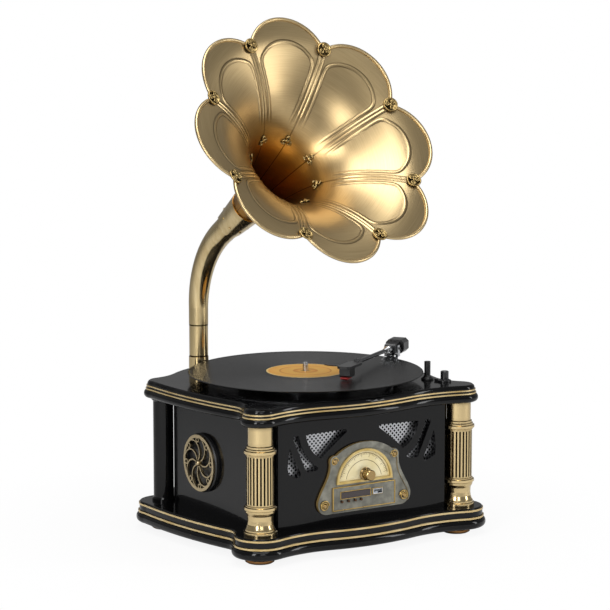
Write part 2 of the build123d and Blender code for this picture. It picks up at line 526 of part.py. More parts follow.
def turntable():
    x, y = SPINDLE_X, SPINDLE_Y
    record_z = RECORD_TOP - RECORD_T
    mat_z = record_z - MAT_T
    platter_z = mat_z - PLATTER_T
    hub_z = platter_z - HUB_H
    shaft_bottom = DECK_Z - BEARING_L + 12
    rim = turned([(PLATTER_R, platter_z), (PLATTER_R, mat_z)])
    rim = chamfer(rim.edges().sort_by(Axis.Z)[0], 1.2)
    hub = ring(HUB_R, HUB_R - 4, HUB_H, z=hub_z)
    centre = disc(12, HUB_H, z=hub_z)
    platter = rim + hub + centre
    for i in range(6):
        web = block(8, HUB_R - 2, -1.5, 1.5, hub_z + 1.0, platter_z)
        platter += Rot(0, 0, 60 * i) * web
    platter += disc(BEARING_R, hub_z - shaft_bottom, z=shaft_bottom)
    free_z = RECORD_TOP + LABEL_T + 0.2
    platter += turned([(SPINDLE_NECK_R, mat_z - 1), (SPINDLE_NECK_R, free_z), (SPINDLE_R, free_z),
                       (SPINDLE_R, SPINDLE_TOP - 2.4), (SPINDLE_R - 1.0, SPINDLE_TOP - 0.6),
                       (SPINDLE_R - 2.2, SPINDLE_TOP)])
    parts["platter"] = Pos(x, y, 0) * platter
    hole = disc(SPINDLE_R + RUN_GAP, 20, z=mat_z - 5)
    parts["platter_mat"] = Pos(x, y, 0) * (disc(PLATTER_R - 3, MAT_T, z=mat_z) - hole)
    # The record is thicker at its rim and label than in the grooves
    groove_top = RECORD_TOP - 0.3
    record = turned([(RECORD_R - 1.2, record_z), (RECORD_R, record_z + 0.8), (RECORD_R - 1.0, RECORD_TOP),
                     (RECORD_R - 3.0, groove_top), (LABEL_R + 8.0, groove_top), (LABEL_R + 4.0, RECORD_TOP)])
    parts["record"] = Pos(x, y, 0) * (record - hole)
    label = disc(LABEL_R, LABEL_T, z=RECORD_TOP)
    parts["record_label"] = Pos(x, y, 0) * (label - hole)
    housing = turned([(BEARING_HOUSING_R, shaft_bottom - 3), (BEARING_HOUSING_R, DECK_Z - 2), (16, DECK_Z - 2),
                      (16, DECK_Z), (BEARING_HOUSING_R, DECK_Z), (BEARING_HOUSING_R, TOP_Z + 1.2)])
    housing -= disc(BEARING_R + RUN_GAP, 100, z=shaft_bottom - BODY_GAP)
    parts["spindle_bearing"] = Pos(x, y, 0) * housing

    belt_z = hub_z + (HUB_H - BELT_W) / 2
    px, py = PULLEY_DX, PULLEY_DY
    loop = make_hull([*Edge.make_circle(HUB_R + BODY_GAP).edges(),
                      *(Pos(px, py, 0) * Edge.make_circle(PULLEY_R + BODY_GAP)).edges()])
    outer = make_hull([*Edge.make_circle(HUB_R + BODY_GAP + BELT_T).edges(),
                       *(Pos(px, py, 0) * Edge.make_circle(PULLEY_R + BODY_GAP + BELT_T)).edges()])
    belt = extrude(outer, BELT_W) - Pos(0, 0, -1) * extrude(loop, BELT_W + 2)
    parts["drive_belt"] = Pos(x, y, belt_z) * belt
    pulley = turned([(PULLEY_R + 1.0, hub_z - 0.6), (PULLEY_R + 1.0, hub_z), (PULLEY_R, hub_z + 0.4),
                     (PULLEY_R, platter_z - 0.6), (PULLEY_R - 1, platter_z - 0.4)])
    pulley += disc(MOTOR_SHAFT_R, hub_z - (DECK_Z - 8), z=DECK_Z - 8)
    parts["motor_pulley"] = Pos(x + px, y + py, 0) * pulley
    motor = disc(MOTOR_R, MOTOR_H, z=DECK_Z - MOTOR_H - 2)
    motor += Pos(0, 0, DECK_Z - 1) * Box(50, 36, 2)
    motor -= disc(MOTOR_SHAFT_R + RUN_GAP, 30, z=DECK_Z - 8 - BODY_GAP)
    parts["motor"] = Pos(x + px, y + py, 0) * motor


def top_board():
    board, lines = moulded_board(DECK_Z, TOP_INSET, TOP_BEAD_H, TOP_LINE_H, TOP_COVE_H, TOP_LAYER_H, 4.4)
    deep = TOP_Z - DECK_Z + 4
    board -= disc(BEARING_HOUSING_R + SLIP_GAP, deep, SPINDLE_X, SPINDLE_Y, DECK_Z - 2)
    board -= disc(MOTOR_SHAFT_R + 2.0, deep, SPINDLE_X + PULLEY_DX, SPINDLE_Y + PULLEY_DY, DECK_Z - 2)
    board -= disc(SOCKET_R + SLIP_GAP, deep, TUBE_X, TUBE_Y, DECK_Z - 2)
    board -= disc(4.0 + SLIP_GAP, deep, ARM_X, ARM_Y, DECK_Z - 2)
    board -= disc(3.0 + RUN_GAP, deep, SPEED_X, SPEED_Y, DECK_Z - 2)
    parts["top_board"] = board
    parts["top_gilt_lines"] = lines


def tonearm():
    """Pedestal, swivelling yoke, and a tilting arm with counterweight, tube, headshell and cartridge."""
    pedestal = turned([(13.0, TOP_Z), (13.0, TOP_Z + 2), (10.0, TOP_Z + 3.5), (7.6, TOP_Z + 5), (7.6, ARM_Z - 11)])
    pedestal += disc(4.0, TOP_Z - DECK_Z - 2, z=DECK_Z + 2)
    pedestal -= disc(2.5 + RUN_GAP, 40, z=TOP_Z - 2)
    parts["arm_pedestal"] = Pos(ARM_X, ARM_Y, 0) * pedestal
    turn = Pos(ARM_X, ARM_Y, 0) * Rot(0, 0, ARM_AIM)

    half_gap = 8.4
    yoke_z = ARM_Z - 11 + BODY_GAP
    yoke = disc(2.5, yoke_z - TOP_Z + 2 - BODY_GAP, z=TOP_Z - 2 + BODY_GAP) + disc(7.6, 2.4, z=yoke_z)
    for s in (-1, 1):
        cheek = block(-4.5, 4.5, s * half_gap - 1.1, s * half_gap + 1.1, yoke_z, ARM_Z + 4.5)
        yoke += cheek
    yoke += block(-4.5, 4.5, -half_gap - 1.1, half_gap + 1.1, yoke_z, yoke_z + 2.4)
    axle_hole = Pos(0, 0, ARM_Z) * Rot(90, 0, 0) * Cylinder(1.5 + RUN_GAP, 40)
    parts["arm_yoke"] = turn * (yoke - axle_hole)

    hub = block(-11, 10, -half_gap + 1.1 + BODY_GAP, half_gap - 1.1 - BODY_GAP, ARM_Z - 5.5, ARM_Z + 6.5)
    hub = chamfer(hub.edges().filter_by(Axis.Y), 1.5)
    hub += Pos(0, 0, ARM_Z) * Rot(90, 0, 0) * Cylinder(1.5, 2 * half_gap + 5.0)
    tail = block(-34, -11.01, -12.5, 12.5, ARM_Z - 8.5, ARM_Z + 9.5)
    tail = chamfer(tail.edges().filter_by(Axis.X), 4.0)
    tail = chamfer(tail.faces().sort_by(Axis.X)[0].edges(), 1.5)
    parts["arm_block"] = turn * hub
    parts["counterweight"] = turn * tail

    rise = Pos(0, 0, ARM_Z) * Rot(0, -ARM_RISE, 0)
    tube_start, tube_end = 10.2, 146.0
    lean = turn * rise
    along_x = Rot(0, 90, 0)
    collar = Pos(tube_start + 6, 0, 0) * along_x * Cylinder(5.0, 12)
    collar += Pos(tube_start + 16, 0, 0) * along_x * Cylinder(3.8, 8)
    collar -= Pos(tube_start + 12, 0, 0) * along_x * Cylinder(ARM_TUBE_R + SLIP_GAP / 2, 40)
    parts["arm_collar"] = lean * collar
    tube = Pos((tube_start + tube_end) / 2, 0, 0) * along_x * (
        Cylinder(ARM_TUBE_R, tube_end - tube_start) - Cylinder(ARM_TUBE_R - 0.8, tube_end))
    parts["arm_tube"] = lean * tube
    head = Pos(142, 0, 0) * along_x * Cylinder(4.2, 10) - Pos(140, 0, 0) * along_x * Cylinder(
        ARM_TUBE_R + SLIP_GAP / 2, 30)
    shell_sketch = make_face(Polyline((146.3, -6), (154, -9), (198, -9), (201, -5), (201, 5), (198, 9),
                                      (154, 9), (146.3, 6), close=True))
    head += Pos(0, 0, -2.2) * extrude(shell_sketch, 3.2)
    head += block(146.3, 147.3, -4, 4, -2.2, 3.0)
    finger = Polyline((186, -8.5), (192, -8.5), (190, -24), (186, -30), (183, -29), (187, -21), close=True)
    head += Pos(0, 0, -0.6) * extrude(make_face(finger), 1.4)
    head -= Pos(140, 0, 0) * along_x * Cylinder(ARM_TUBE_R + SLIP_GAP / 2, 12.4)
    parts["headshell"] = lean * head
    drop = ARM_Z + ARM_REACH * tan(radians(ARM_RISE)) - RECORD_TOP
    body_h = drop - 2.2 - 3.6
    cartridge = Pos(186, 0, -2.2 - body_h / 2) * Box(20, 14, body_h)
    cartridge = chamfer(cartridge.edges().filter_by(Axis.Y).sort_by(Axis.Z)[:2], 2.0)
    parts["cartridge"] = lean * cartridge
    tip_h = drop - LABEL_T - 0.2 - BODY_GAP - (2.2 + body_h)
    stylus = Polyline((176, 0), (199.5, 0), (199.5, -1.2), (ARM_REACH + 0.8, -tip_h), (ARM_REACH - 0.8, -tip_h),
                      (178, -1.8), close=True)
    stylus = extrude(Plane.XZ * make_face(stylus), 4.2, both=True)
    parts["stylus"] = lean * (Pos(0, 0, -2.2 - body_h) * stylus)

    rest_top = ARM_Z + 114 * tan(radians(ARM_RISE)) - ARM_TUBE_R - 2 * BODY_GAP
    rest = turned([(8.0, TOP_Z), (8.0, TOP_Z + 1.5), (5.0, TOP_Z + 4.0), (4.0, TOP_Z + 6.0), (4.0, rest_top)])
    parts["arm_rest"] = Pos(ARM_REST_X, ARM_REST_Y, 0) * rest
    speed = turned([(8.5, TOP_Z + BODY_GAP), (8.5, TOP_Z + 2.2), (5.2, TOP_Z + 4.0), (5.2, TOP_Z + 13.4),
                    (4.6, TOP_Z + 14.0)])
    speed += disc(3.0, 14, z=TOP_Z + BODY_GAP - 14)
    speed += block(3, 14, -1.8, 1.8, TOP_Z + BODY_GAP, TOP_Z + 3.0)
    parts["speed_knob"] = Pos(SPEED_X, SPEED_Y, 0) * Rot(0, 0, 115) * speed


def horn_frame():
    """Horn frame: origin in the middle of the notch circle, Z out of the mouth, X to the right."""
    a, e = radians(HORN_AIM), radians(HORN_TILT)
    axis = (sin(a) * cos(e), -cos(a) * cos(e), sin(e))
    origin = (TUBE_X + HORN_REACH * sin(a), TUBE_Y - HORN_REACH * cos(a), HORN_Z)
    return Plane(origin, x_dir=(cos(a), sin(a), 0), z_dir=axis)


def bell_points(shift):
    """Bell profile moved square to itself: positive shift is towards the back of the metal."""
    moved = []
    for i, (r, z) in enumerate(BELL):
        r0, z0 = BELL[max(i - 1, 0)]
        r1, z1 = BELL[min(i + 1, len(BELL) - 1)]
        d = hypot(r1 - r0, z1 - z0)
        moved.append((r + shift * (z1 - z0) / d, z - shift * (r1 - r0) / d))
    return moved


def bell_shell(near, far):
    """The bell's skin between two shifts of its profile, as a full turn."""
    inner = [(r, 0, z) for r, z in bell_points(near)]
    outer = [(r, 0, z) for r, z in bell_points(far)]
    edges = [Spline(*inner), Line(inner[-1], outer[-1]), Spline(*outer), Line(outer[0], inner[0])]
    return revolve(make_face(Wire([e.edge() for e in edges])), Axis.Z)


def rosette():
    """Eight round petals between the notches, seen along the horn's axis."""
    edges = []
    for i in range(PETALS):
        a0 = radians(HORN_ROLL + 360 / PETALS * i)
        a1 = radians(HORN_ROLL + 360 / PETALS * (i + 1))
        mid = (a0 + a1) / 2
        edges.append(ThreePointArc((NOTCH_R * cos(a0), NOTCH_R * sin(a0)), (TIP_R * cos(mid), TIP_R * sin(mid)),
                                   (NOTCH_R * cos(a1), NOTCH_R * sin(a1))).edge())
    return make_face(Wire(edges))


def bell_height(radius):
    """Depth of the bell's front face at a radius, read along its points."""
    for (r0, z0), (r1, z1) in zip(BELL, BELL[1:]):
        if radius <= r1:
            return z0 + (z1 - z0) * (radius - r0) / (r1 - r0)
    return BELL[-1][1]


def bell_slope(radius):
    return degrees(atan2(bell_height(radius + 3) - bell_height(radius - 3), 6))


def horn():
    frame = horn_frame()
    corner_back = HORN_REACH / cos(radians(HORN_TILT))
    corner_z = HORN_Z - HORN_REACH * tan(radians(HORN_TILT))
    bend = 90 - HORN_TILT
    tangent = NECK_BEND_R * tan(radians(bend / 2))
    bend_z = corner_z - tangent

    socket = disc(SOCKET_R, SOCKET_TOP - DECK_Z, z=DECK_Z) + disc(SOCKET_R + 5, 2, z=DECK_Z - 2)
    bore_r = SOCKET_R - 1.9
    socket -= disc(bore_r, 100, z=DECK_Z - 20)
    parts["horn_socket"] = Pos(TUBE_X, TUBE_Y, 0) * socket
    stem = disc(STEM_R, STEM_TOP - SOCKET_TOP - BODY_GAP, z=SOCKET_TOP + BODY_GAP)
    stem += disc(bore_r - RUN_GAP, 30, z=SOCKET_TOP + BODY_GAP - 30)
    stem -= disc(bore_r - 1.6, 120, z=DECK_Z)
    parts["horn_stem"] = Pos(TUBE_X, TUBE_Y, 0) * stem

    # Swan neck: straight start, tapering bend, straight end inside the sleeve
    neck_end = -BELL[0][1] + 0.5
    straight_end = corner_back - tangent - neck_end

    def neck_solid(wall):
        sections = []
        steps = 6
        total = radians(bend) * NECK_BEND_R + straight_end
        for i in range(steps + 1):
            phi = radians(bend) * i / steps
            radius = NECK_R0 + (NECK_R1 - NECK_R0) * (phi * NECK_BEND_R / total)
            back = NECK_BEND_R * (1 - cos(phi))
            up = bend_z + NECK_BEND_R * sin(phi)
            sections.append(Plane((0, -back, up), x_dir=(1, 0, 0), z_dir=(0, -sin(phi), cos(phi)))
                            * Circle(radius - wall))
        bent = loft(sections)
        last = Plane((0, -NECK_BEND_R * (1 - cos(radians(bend))), bend_z + NECK_BEND_R * sin(radians(bend))),
                     x_dir=(1, 0, 0), z_dir=(0, -sin(radians(bend)), cos(radians(bend))))
        r_bend = NECK_R0 + (NECK_R1 - NECK_R0) * (radians(bend) * NECK_BEND_R / total)
        end = loft([last * Circle(r_bend - wall), last * Pos(0, 0, straight_end) * Circle(NECK_R1 - wall)])
        start = disc(NECK_R0 - wall, bend_z - STEM_TOP, z=STEM_TOP)
        return start + bent + end

    neck = neck_solid(0.0) - neck_solid(NECK_WALL)
    parts["swan_neck"] = Pos(TUBE_X, TUBE_Y, 0) * Rot(0, 0, HORN_AIM) * neck

    # Bell: eight petals cut from the flared skin by the rosette
    skin = bell_shell(0.0, HORN_T) & (Pos(0, 0, -250) * extrude(rosette(), 300))
    petals = []
    size = 400.0
    for i in range(PETALS):
        a0 = radians(HORN_ROLL + 360 / PETALS * i)
        a1 = radians(HORN_ROLL + 360 / PETALS * (i + 1))
        wedge = make_face(Polyline((0, 0), (size * cos(a0), size * sin(a0)), (size * cos(a1), size * sin(a1)),
                                   close=True))
        petals.append((skin & (Pos(0, 0, -250) * extrude(wedge, 300))).solid())
    parts["horn_petals"] = frame * Compound(children=petals)

    seam_skin = bell_shell(-SEAM_T, 0.0)
    seams, clasps, ornaments = [], [], []
    (throat_r, throat_z), (ornament_r, ornament_z), (flare_r, flare_z) = BELL[2:5]
    ornament_tilt = -degrees(atan2(flare_z - throat_z, flare_r - throat_r))
    seam_in, seam_out = ornament_r + 5.0, NOTCH_R - 1.0
    for i in range(PETALS):
        spin = Rot(0, 0, HORN_ROLL + 360 / PETALS * i)
        bar = spin * Pos((seam_in + seam_out) / 2, 0, -100) * Box(seam_out - seam_in, SEAM_W, 300)
        seams.append((seam_skin & bar).solid())
        z = bell_height(NOTCH_R - 1)
        tilt = -bell_slope(NOTCH_R - 1)
        clasp = turned([(CLASP_R, 0), (CLASP_R, CLASP_T - 1), (CLASP_R - 1.2, CLASP_T), (CLASP_R - 3.2, CLASP_T),
                        (CLASP_R - 3.6, CLASP_T - 1.0), (4.2, CLASP_T - 1.0), (3.6, CLASP_T + 0.6),
                        (1.6, CLASP_T + 1.4)])
        clasps.append((spin * Pos(NOTCH_R - 1, 0, z) * Rot(0, tilt, 0) * Pos(0, 0, SEAM_T + 0.5) * clasp).solid())
        drop = turned([(ORNAMENT_R, 0), (ORNAMENT_R, 1.0), (ORNAMENT_R - 2, 2.0), (1.0, 2.6)])
        seat = spin * Pos(ornament_r, 0, ornament_z) * Rot(0, ornament_tilt, 0) * Pos(0, 0, ORNAMENT_LIFT)
        ornaments.append((seat * drop).solid())
    parts["horn_seams"] = frame * Compound(children=seams)
    parts["horn_clasps"] = frame * Compound(children=clasps)
    parts["horn_ornaments"] = frame * Compound(children=ornaments)

    sleeve = turned([(SLEEVE_R0, SLEEVE_Z0), (SLEEVE_R1, SLEEVE_Z1)]) - turned(
        [(SLEEVE_R0 - SLEEVE_T, SLEEVE_Z0 - 0.01), (SLEEVE_R1 - SLEEVE_T, SLEEVE_Z1 + 0.01)])
    for i in range(SLEEVE_LEAVES):
        notch = Rot(0, 0, HORN_ROLL + 360 / SLEEVE_LEAVES * i) * Pos(20, 0, SLEEVE_Z0) * Rot(0, 90, 0) * Cylinder(3.4, 16)
        sleeve -= notch
        rivet_z = (SLEEVE_Z0 + SLEEVE_Z1) / 2 - 8
        r = SLEEVE_R0 + (SLEEVE_R1 - SLEEVE_R0) * (rivet_z - SLEEVE_Z0) / (SLEEVE_Z1 - SLEEVE_Z0)
        rivet = Pos(r - 0.3, 0, rivet_z) * Rot(0, 90, 0) * Cylinder(1.5, 2.0)
        sleeve += Rot(0, 0, HORN_ROLL + 22.5 + 360 / SLEEVE_LEAVES * i) * rivet
    parts["horn_sleeve"] = frame * sleeve
    driver = ring(26, bore_r, 6, z=DECK_Z - 8) + disc(26, 14, z=DECK_Z - 22)
    parts["horn_driver"] = Pos(TUBE_X, TUBE_Y, 0) * driver


def main():
    base_and_feet()
    case_walls()
    columns()
    rear_sockets()
    medallions()
    radio()
    speakers()
    turntable()
    top_board()
    tonearm()
    horn()
    boxes = [solid.bounding_box() for solid in parts.values()]
    x = (min(b.min.X for b in boxes) + max(b.max.X for b in boxes)) / 2
    y = (min(b.min.Y for b in boxes) + max(b.max.Y for b in boxes)) / 2
    print(f"cabinet frame origin is at {-x:.4f}, {-y:.4f} in the object's frame")
    os.makedirs("parts", exist_ok=True)
    for name, solid in parts.items():
        export_step(Pos(-x, -y, 0) * solid, f"parts/{name}.step")


main()
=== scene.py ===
# %% [markdown]
# # A horn gramophone
# A tabletop record player: a black lacquered cabinet with brass columns and a radio plate, a
# turntable on top, and an eight-petal brass horn on a swan neck. The solid model is finished
# already. This script loads it, gives each part the surface its real material has, and makes
# anew the few pieces whose beauty lies in thin curved metal.

# %% Load the solid model
import math

import bmesh
import bpy
import numpy as np
from mathutils import Matrix, Vector


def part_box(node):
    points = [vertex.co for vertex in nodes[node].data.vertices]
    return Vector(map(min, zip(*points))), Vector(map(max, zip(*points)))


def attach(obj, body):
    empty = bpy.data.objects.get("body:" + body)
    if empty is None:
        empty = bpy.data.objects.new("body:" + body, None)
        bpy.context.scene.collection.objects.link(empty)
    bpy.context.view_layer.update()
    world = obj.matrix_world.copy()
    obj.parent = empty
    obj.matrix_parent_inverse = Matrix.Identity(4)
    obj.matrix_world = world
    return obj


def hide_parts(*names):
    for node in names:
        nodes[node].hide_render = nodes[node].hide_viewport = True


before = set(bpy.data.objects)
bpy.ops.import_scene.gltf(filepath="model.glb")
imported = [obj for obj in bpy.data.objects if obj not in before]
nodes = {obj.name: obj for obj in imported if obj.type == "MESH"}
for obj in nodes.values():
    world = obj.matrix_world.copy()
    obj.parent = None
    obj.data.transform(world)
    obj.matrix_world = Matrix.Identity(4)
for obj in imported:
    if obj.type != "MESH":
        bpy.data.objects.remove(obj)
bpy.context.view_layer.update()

# %% [markdown]
# The cabinet was drawn about its own centre plane, in millimetres. The record's centre is a
# known point of that drawing, 2 mm left of the plane and 25 mm in front of it, so measuring
# where the record lies now gives the shift from the drawing to this scene.

# %% From drawing millimetres to scene metres
RECORD_AT = np.array([-2.0, -25.0, 0.0])
record_low, record_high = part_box("record")
record_middle = [(record_low.x + record_high.x) / 2, (record_low.y + record_high.y) / 2, 0.0]
SHIFT = record_middle - RECORD_AT / 1000


def place(points_mm):
    """Cabinet drawing in millimetres to scene metres: divide by a thousand, then add the shift."""
    return np.asarray(points_mm, float) / 1000.0 + SHIFT


print("drawing origin lies at", SHIFT.round(5))

# %% [markdown]
# Every new piece is a surface worked out on a grid: one number runs along each row, another
# along each column, and numpy computes all the points at once. This helper turns such a grid
# into a mesh. A grid may close on itself in either direction, as a ring or a tube does.

# %% Grid to mesh


def grid_object(name, points, closed_rows=False, closed_cols=False, uv=None, relief_shade=None):
    """Quads between neighbours of an (n, m, 3) array of points in metres.

    A map on a closed grid runs on to 1 in its last column. Coincident points at poles are
    merged. The relief shade is one number per point, painted shade kept for the material to read.
    """
    n, m = points.shape[:2]
    index = np.arange(n * m).reshape(n, m)
    index = np.vstack([index, index[:1]]) if closed_rows else index
    index = np.hstack([index, index[:, :1]]) if closed_cols else index

    def corners(grid):
        return np.stack([grid[:-1, :-1], grid[1:, :-1], grid[1:, 1:], grid[:-1, 1:]], axis=2)

    mesh = bpy.data.meshes.new(name)
    mesh.from_pydata(points.reshape(-1, 3).tolist(), [], corners(index).reshape(-1, 4).tolist())
    if uv is not None:
        uv = np.vstack([uv, uv[:1]]) if closed_rows else uv
        uv = np.hstack([uv, uv[:, :1] + (1.0, 0.0)]) if closed_cols else uv
        layer = mesh.uv_layers.new(name="surface")
        layer.data.foreach_set("uv", corners(uv).astype(np.float32).ravel())
    if relief_shade is not None:
        marks = mesh.attributes.new("relief_shade", "FLOAT", "POINT")
        marks.data.foreach_set("value", relief_shade.astype(np.float32).ravel())
    shell = bmesh.new()
    shell.from_mesh(mesh)
    bmesh.ops.remove_doubles(shell, verts=shell.verts, dist=1e-6)
    bmesh.ops.recalc_face_normals(shell, faces=shell.faces)
    shell.to_mesh(mesh)
    shell.free()
    mesh.polygons.foreach_set("use_smooth", np.ones(len(mesh.polygons), bool))
    mesh.update()
    piece = bpy.data.objects.new(name, mesh)
    bpy.context.scene.collection.objects.link(piece)
    return piece


def joined(name, pieces):
    """Several mesh pieces as one object."""
    bpy.ops.object.select_all(action="DESELECT")
    for piece in pieces:
        piece.select_set(True)
    bpy.context.view_layer.objects.active = pieces[0]
    bpy.ops.object.join()
    pieces[0].name = name
    pieces[0].data.name = name
    return pieces[0]


# %% [markdown]
# Wire, beads and rolled edges are round sections carried along a path. At each point of the
# path the section stands square to the way the path runs, with one side turned towards a
# chosen direction, so that the tube doesn't twist.

# %% Round section along a path


def unit(v):
    """Vectors divided by their lengths."""
    return v / np.maximum(np.linalg.norm(v, axis=-1, keepdims=True), 1e-12)


def tube_points(path, radius, up, sides, closed=False):
    """Point = path + radius * (cos a * side + sin a * top), where side = run x up and top = side x run."""
    run = unit(np.roll(path, -1, 0) - np.roll(path, 1, 0)) if closed else unit(np.gradient(path, axis=0))
    side = unit(np.cross(run, up))
    top = np.cross(side, run)
    a = np.linspace(0, 2 * np.pi, sides, endpoint=False)
    across = np.cos(a)[None, :, None] * side[:, None]
    upward = np.sin(a)[None, :, None] * top[:, None]
    return path[:, None] + radius * (across + upward)


def tube(name, path, radius, up, sides=12, closed=False):
    """A tube whose ends, if it has any, are drawn in to a point."""
    points = tube_points(path, radius, up, sides, closed)
    if not closed:
        points = np.concatenate([path[None, :1].repeat(sides, 1), points, path[None, -1:].repeat(sides, 1)])
    return grid_object(name, points, closed_rows=closed, closed_cols=True)


# %% [markdown]
# ## Finishes
# Colours are written as sRGB hex values, as a paint chart gives them, and turned to the
# linear values the renderer works in. One helper adds a shader node with its settings and
# its links.

# %% Colour and node helpers


def colour(code):
    """sRGB hex to linear: c / 12.92 below 0.04045, else ((c + 0.055) / 1.055) ** 2.4."""
    c = np.array([int(code[i:i + 2], 16) for i in (1, 3, 5)]) / 255
    return tuple(np.where(c <= 0.04045, c / 12.92, ((c + 0.055) / 1.055) ** 2.4)) + (1.0,)


def add(tree, kind, settings=None, **inputs):
    """Adds a node. A setting is an attribute; an input is a value or another node's output.

    An input goes by its name, or by its number after an i where names repeat.
    """
    node = tree.nodes.new(kind)
    for key, value in (settings or {}).items():
        setattr(node, key, value)
    for key, value in inputs.items():
        by_number = key[0] == "i" and key[1:].isdigit()
        socket = node.inputs[int(key[1:]) if by_number else key.replace("_", " ")]
        if isinstance(value, bpy.types.NodeSocket):
            tree.links.new(value, socket)
        else:
            socket.default_value = value
    return node


def finish(name, base, metallic=0.0, roughness=0.5, **sockets):
    """A new material with its Principled shader set. Returns material, node tree and shader."""
    material = bpy.data.materials.new(name)
    material.use_nodes = True
    tree = material.node_tree
    shader = tree.nodes["Principled BSDF"]
    shader.inputs["Base Color"].default_value = colour(base)
    shader.inputs["Metallic"].default_value = metallic
    shader.inputs["Roughness"].default_value = roughness
    for key, value in sockets.items():
        shader.inputs[key.replace("_", " ")].default_value = value
    material.diffuse_color = colour(base)
    return material, tree, shader


def ramp(tree, factor, stops):
    """A colour ramp with (position, hex) stops."""
    node = add(tree, "ShaderNodeValToRGB", i0=factor)
    for i, (position, code) in enumerate(stops):
        element = node.color_ramp.elements[i] if i < 2 else node.color_ramp.elements.new(position)
        element.position = position
        element.color = colour(code)
    return node


def dress(material, *names):
    """Gives CAD nodes this material in every slot."""
    for name in names:
        data = nodes[name].data
        data.materials.clear()
        data.materials.append(material)


# %% [markdown]
# ### Piano lacquer
# The cabinet is board under many coats of black polyester lacquer, sanded and buffed. It is
# near black with a deep clear top coat. Up close the coat has a faint orange peel a few
# millimetres long, and buffing leaves it very slightly uneven in gloss.

# %% Piano lacquer
lacquer, tree, shader = finish("black_polyester_lacquer_buffed", "#060607", roughness=0.2, Coat_Weight=0.4,
                               Coat_Roughness=0.035, Specular_IOR_Level=0.06, IOR=1.5)
where = add(tree, "ShaderNodeTexCoord").outputs["Object"]
peel = add(tree, "ShaderNodeTexNoise", Vector=where, Scale=160.0, Detail=2.0)
haze = add(tree, "ShaderNodeTexNoise", Vector=where, Scale=22.0, Detail=4.0)
spread = add(tree, "ShaderNodeMapRange", Value=haze.outputs["Fac"], To_Min=0.16, To_Max=0.26)
tree.links.new(spread.outputs["Result"], shader.inputs["Roughness"])
bump = add(tree, "ShaderNodeBump", Height=peel.outputs["Fac"], Strength=0.02, Distance=0.001)
tree.links.new(bump.outputs["Normal"], shader.inputs["Normal"])
dress(lacquer, "plinth", "side_walls", "front_panel", "rear_wall", "corner_uprights", "rear_posts",
      "top_board")

# %% [markdown]
# ### Antique brass
# The columns, feet and small castings are brass turned or cast, darkened with a chemical
# stain and then rubbed back, so high places shine pale gold and hollows stay brown. The
# ambient occlusion node finds those hollows, and noise breaks up the rubbed surface.

# %% Antique brass


def antique(name, bright, dark, reach, grain_mm, rough):
    """Brass whose colour falls from bright to dark in hollows of a given reach in metres."""
    material, tree, shader = finish(name, bright, metallic=1.0, roughness=rough)
    where = add(tree, "ShaderNodeTexCoord").outputs["Object"]
    hollow = add(tree, "ShaderNodeAmbientOcclusion", {"samples": 6}, Distance=reach)
    open_sky = add(tree, "ShaderNodeMapRange", Value=hollow.outputs["AO"], From_Min=0.35, From_Max=0.95)
    mottle = add(tree, "ShaderNodeTexNoise", Vector=where, Scale=1000.0 / grain_mm, Detail=4.0)
    worn = add(tree, "ShaderNodeMath", {"operation": "MULTIPLY_ADD"}, i0=mottle.outputs["Fac"], i1=0.3,
               i2=-0.12)
    both = add(tree, "ShaderNodeMath", {"operation": "ADD", "use_clamp": True},
               i0=open_sky.outputs["Result"], i1=worn.outputs["Value"])
    tone = ramp(tree, both.outputs["Value"], [(0.0, dark), (1.0, bright)])
    tree.links.new(tone.outputs["Color"], shader.inputs["Base Color"])
    gloss = add(tree, "ShaderNodeMapRange", Value=mottle.outputs["Fac"], To_Min=rough - 0.04,
                To_Max=rough + 0.06)
    tree.links.new(gloss.outputs["Result"], shader.inputs["Roughness"])
    bump = add(tree, "ShaderNodeBump", Height=mottle.outputs["Fac"], Strength=0.03, Distance=0.0006)
    tree.links.new(bump.outputs["Normal"], shader.inputs["Normal"])
    return material


column_brass = antique("turned_brass_antiqued", "#d2bb8c", "#2e2110", 0.006, 9.0, 0.17)
dress(column_brass, "front_columns")
foot_brass = antique("turned_brass_copper_toned", "#a87a4c", "#33200f", 0.004, 7.0, 0.22)
dress(foot_brass, "feet")
knob_brass = antique("knurled_brass_antiqued", "#a58b5e", "#20160b", 0.004, 4.0, 0.24)
dress(knob_brass, "tuning_knob", "plate_screws")
button_brass = antique("cast_brass_dark_stained", "#5c4636", "#1c120b", 0.002, 3.0, 0.3)
dress(button_brass, "radio_button_1", "radio_button_2", "radio_button_3", "radio_button_4")
rose_brass = antique("cast_brass_antiqued", "#b09f7d", "#241b10", 0.004, 4.0, 0.28)
dress(rose_brass, "medallions")

# %% [markdown]
# The flutes of the columns carry painted shade, near black, so the ribs between them stand out. Each
# column's 24 flutes repeat every 15 degrees round its own axis, so the angle from the nearer
# axis, times 24, tells flute from rib. The painted shade lies only at the drum's height.

# %% Painted shade in the flutes
FLUTES = 24.0
DRUM_MIDDLE = 0.0680      # above the column's foot, in metres
DRUM_HALF_HEIGHT = 0.0296
tree = column_brass.node_tree
shader = tree.nodes["Principled BSDF"]
where = add(tree, "ShaderNodeTexCoord").outputs["Object"]
split = add(tree, "ShaderNodeSeparateXYZ", Vector=where)
column_low, column_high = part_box("front_columns")
column_mid = (column_low + column_high) / 2
column_foot_r = (column_high.y - column_low.y) / 2
axis_from_mid = (column_high.x - column_low.x) / 2 - column_foot_r
from_mid = add(tree, "ShaderNodeMath", {"operation": "SUBTRACT"}, i0=split.outputs["X"], i1=column_mid.x)
from_mid = add(tree, "ShaderNodeMath", {"operation": "ABSOLUTE"}, i0=from_mid.outputs["Value"])
across = add(tree, "ShaderNodeMath", {"operation": "SUBTRACT"}, i0=from_mid.outputs["Value"], i1=axis_from_mid)
deep = add(tree, "ShaderNodeMath", {"operation": "SUBTRACT"}, i0=split.outputs["Y"], i1=column_mid.y)
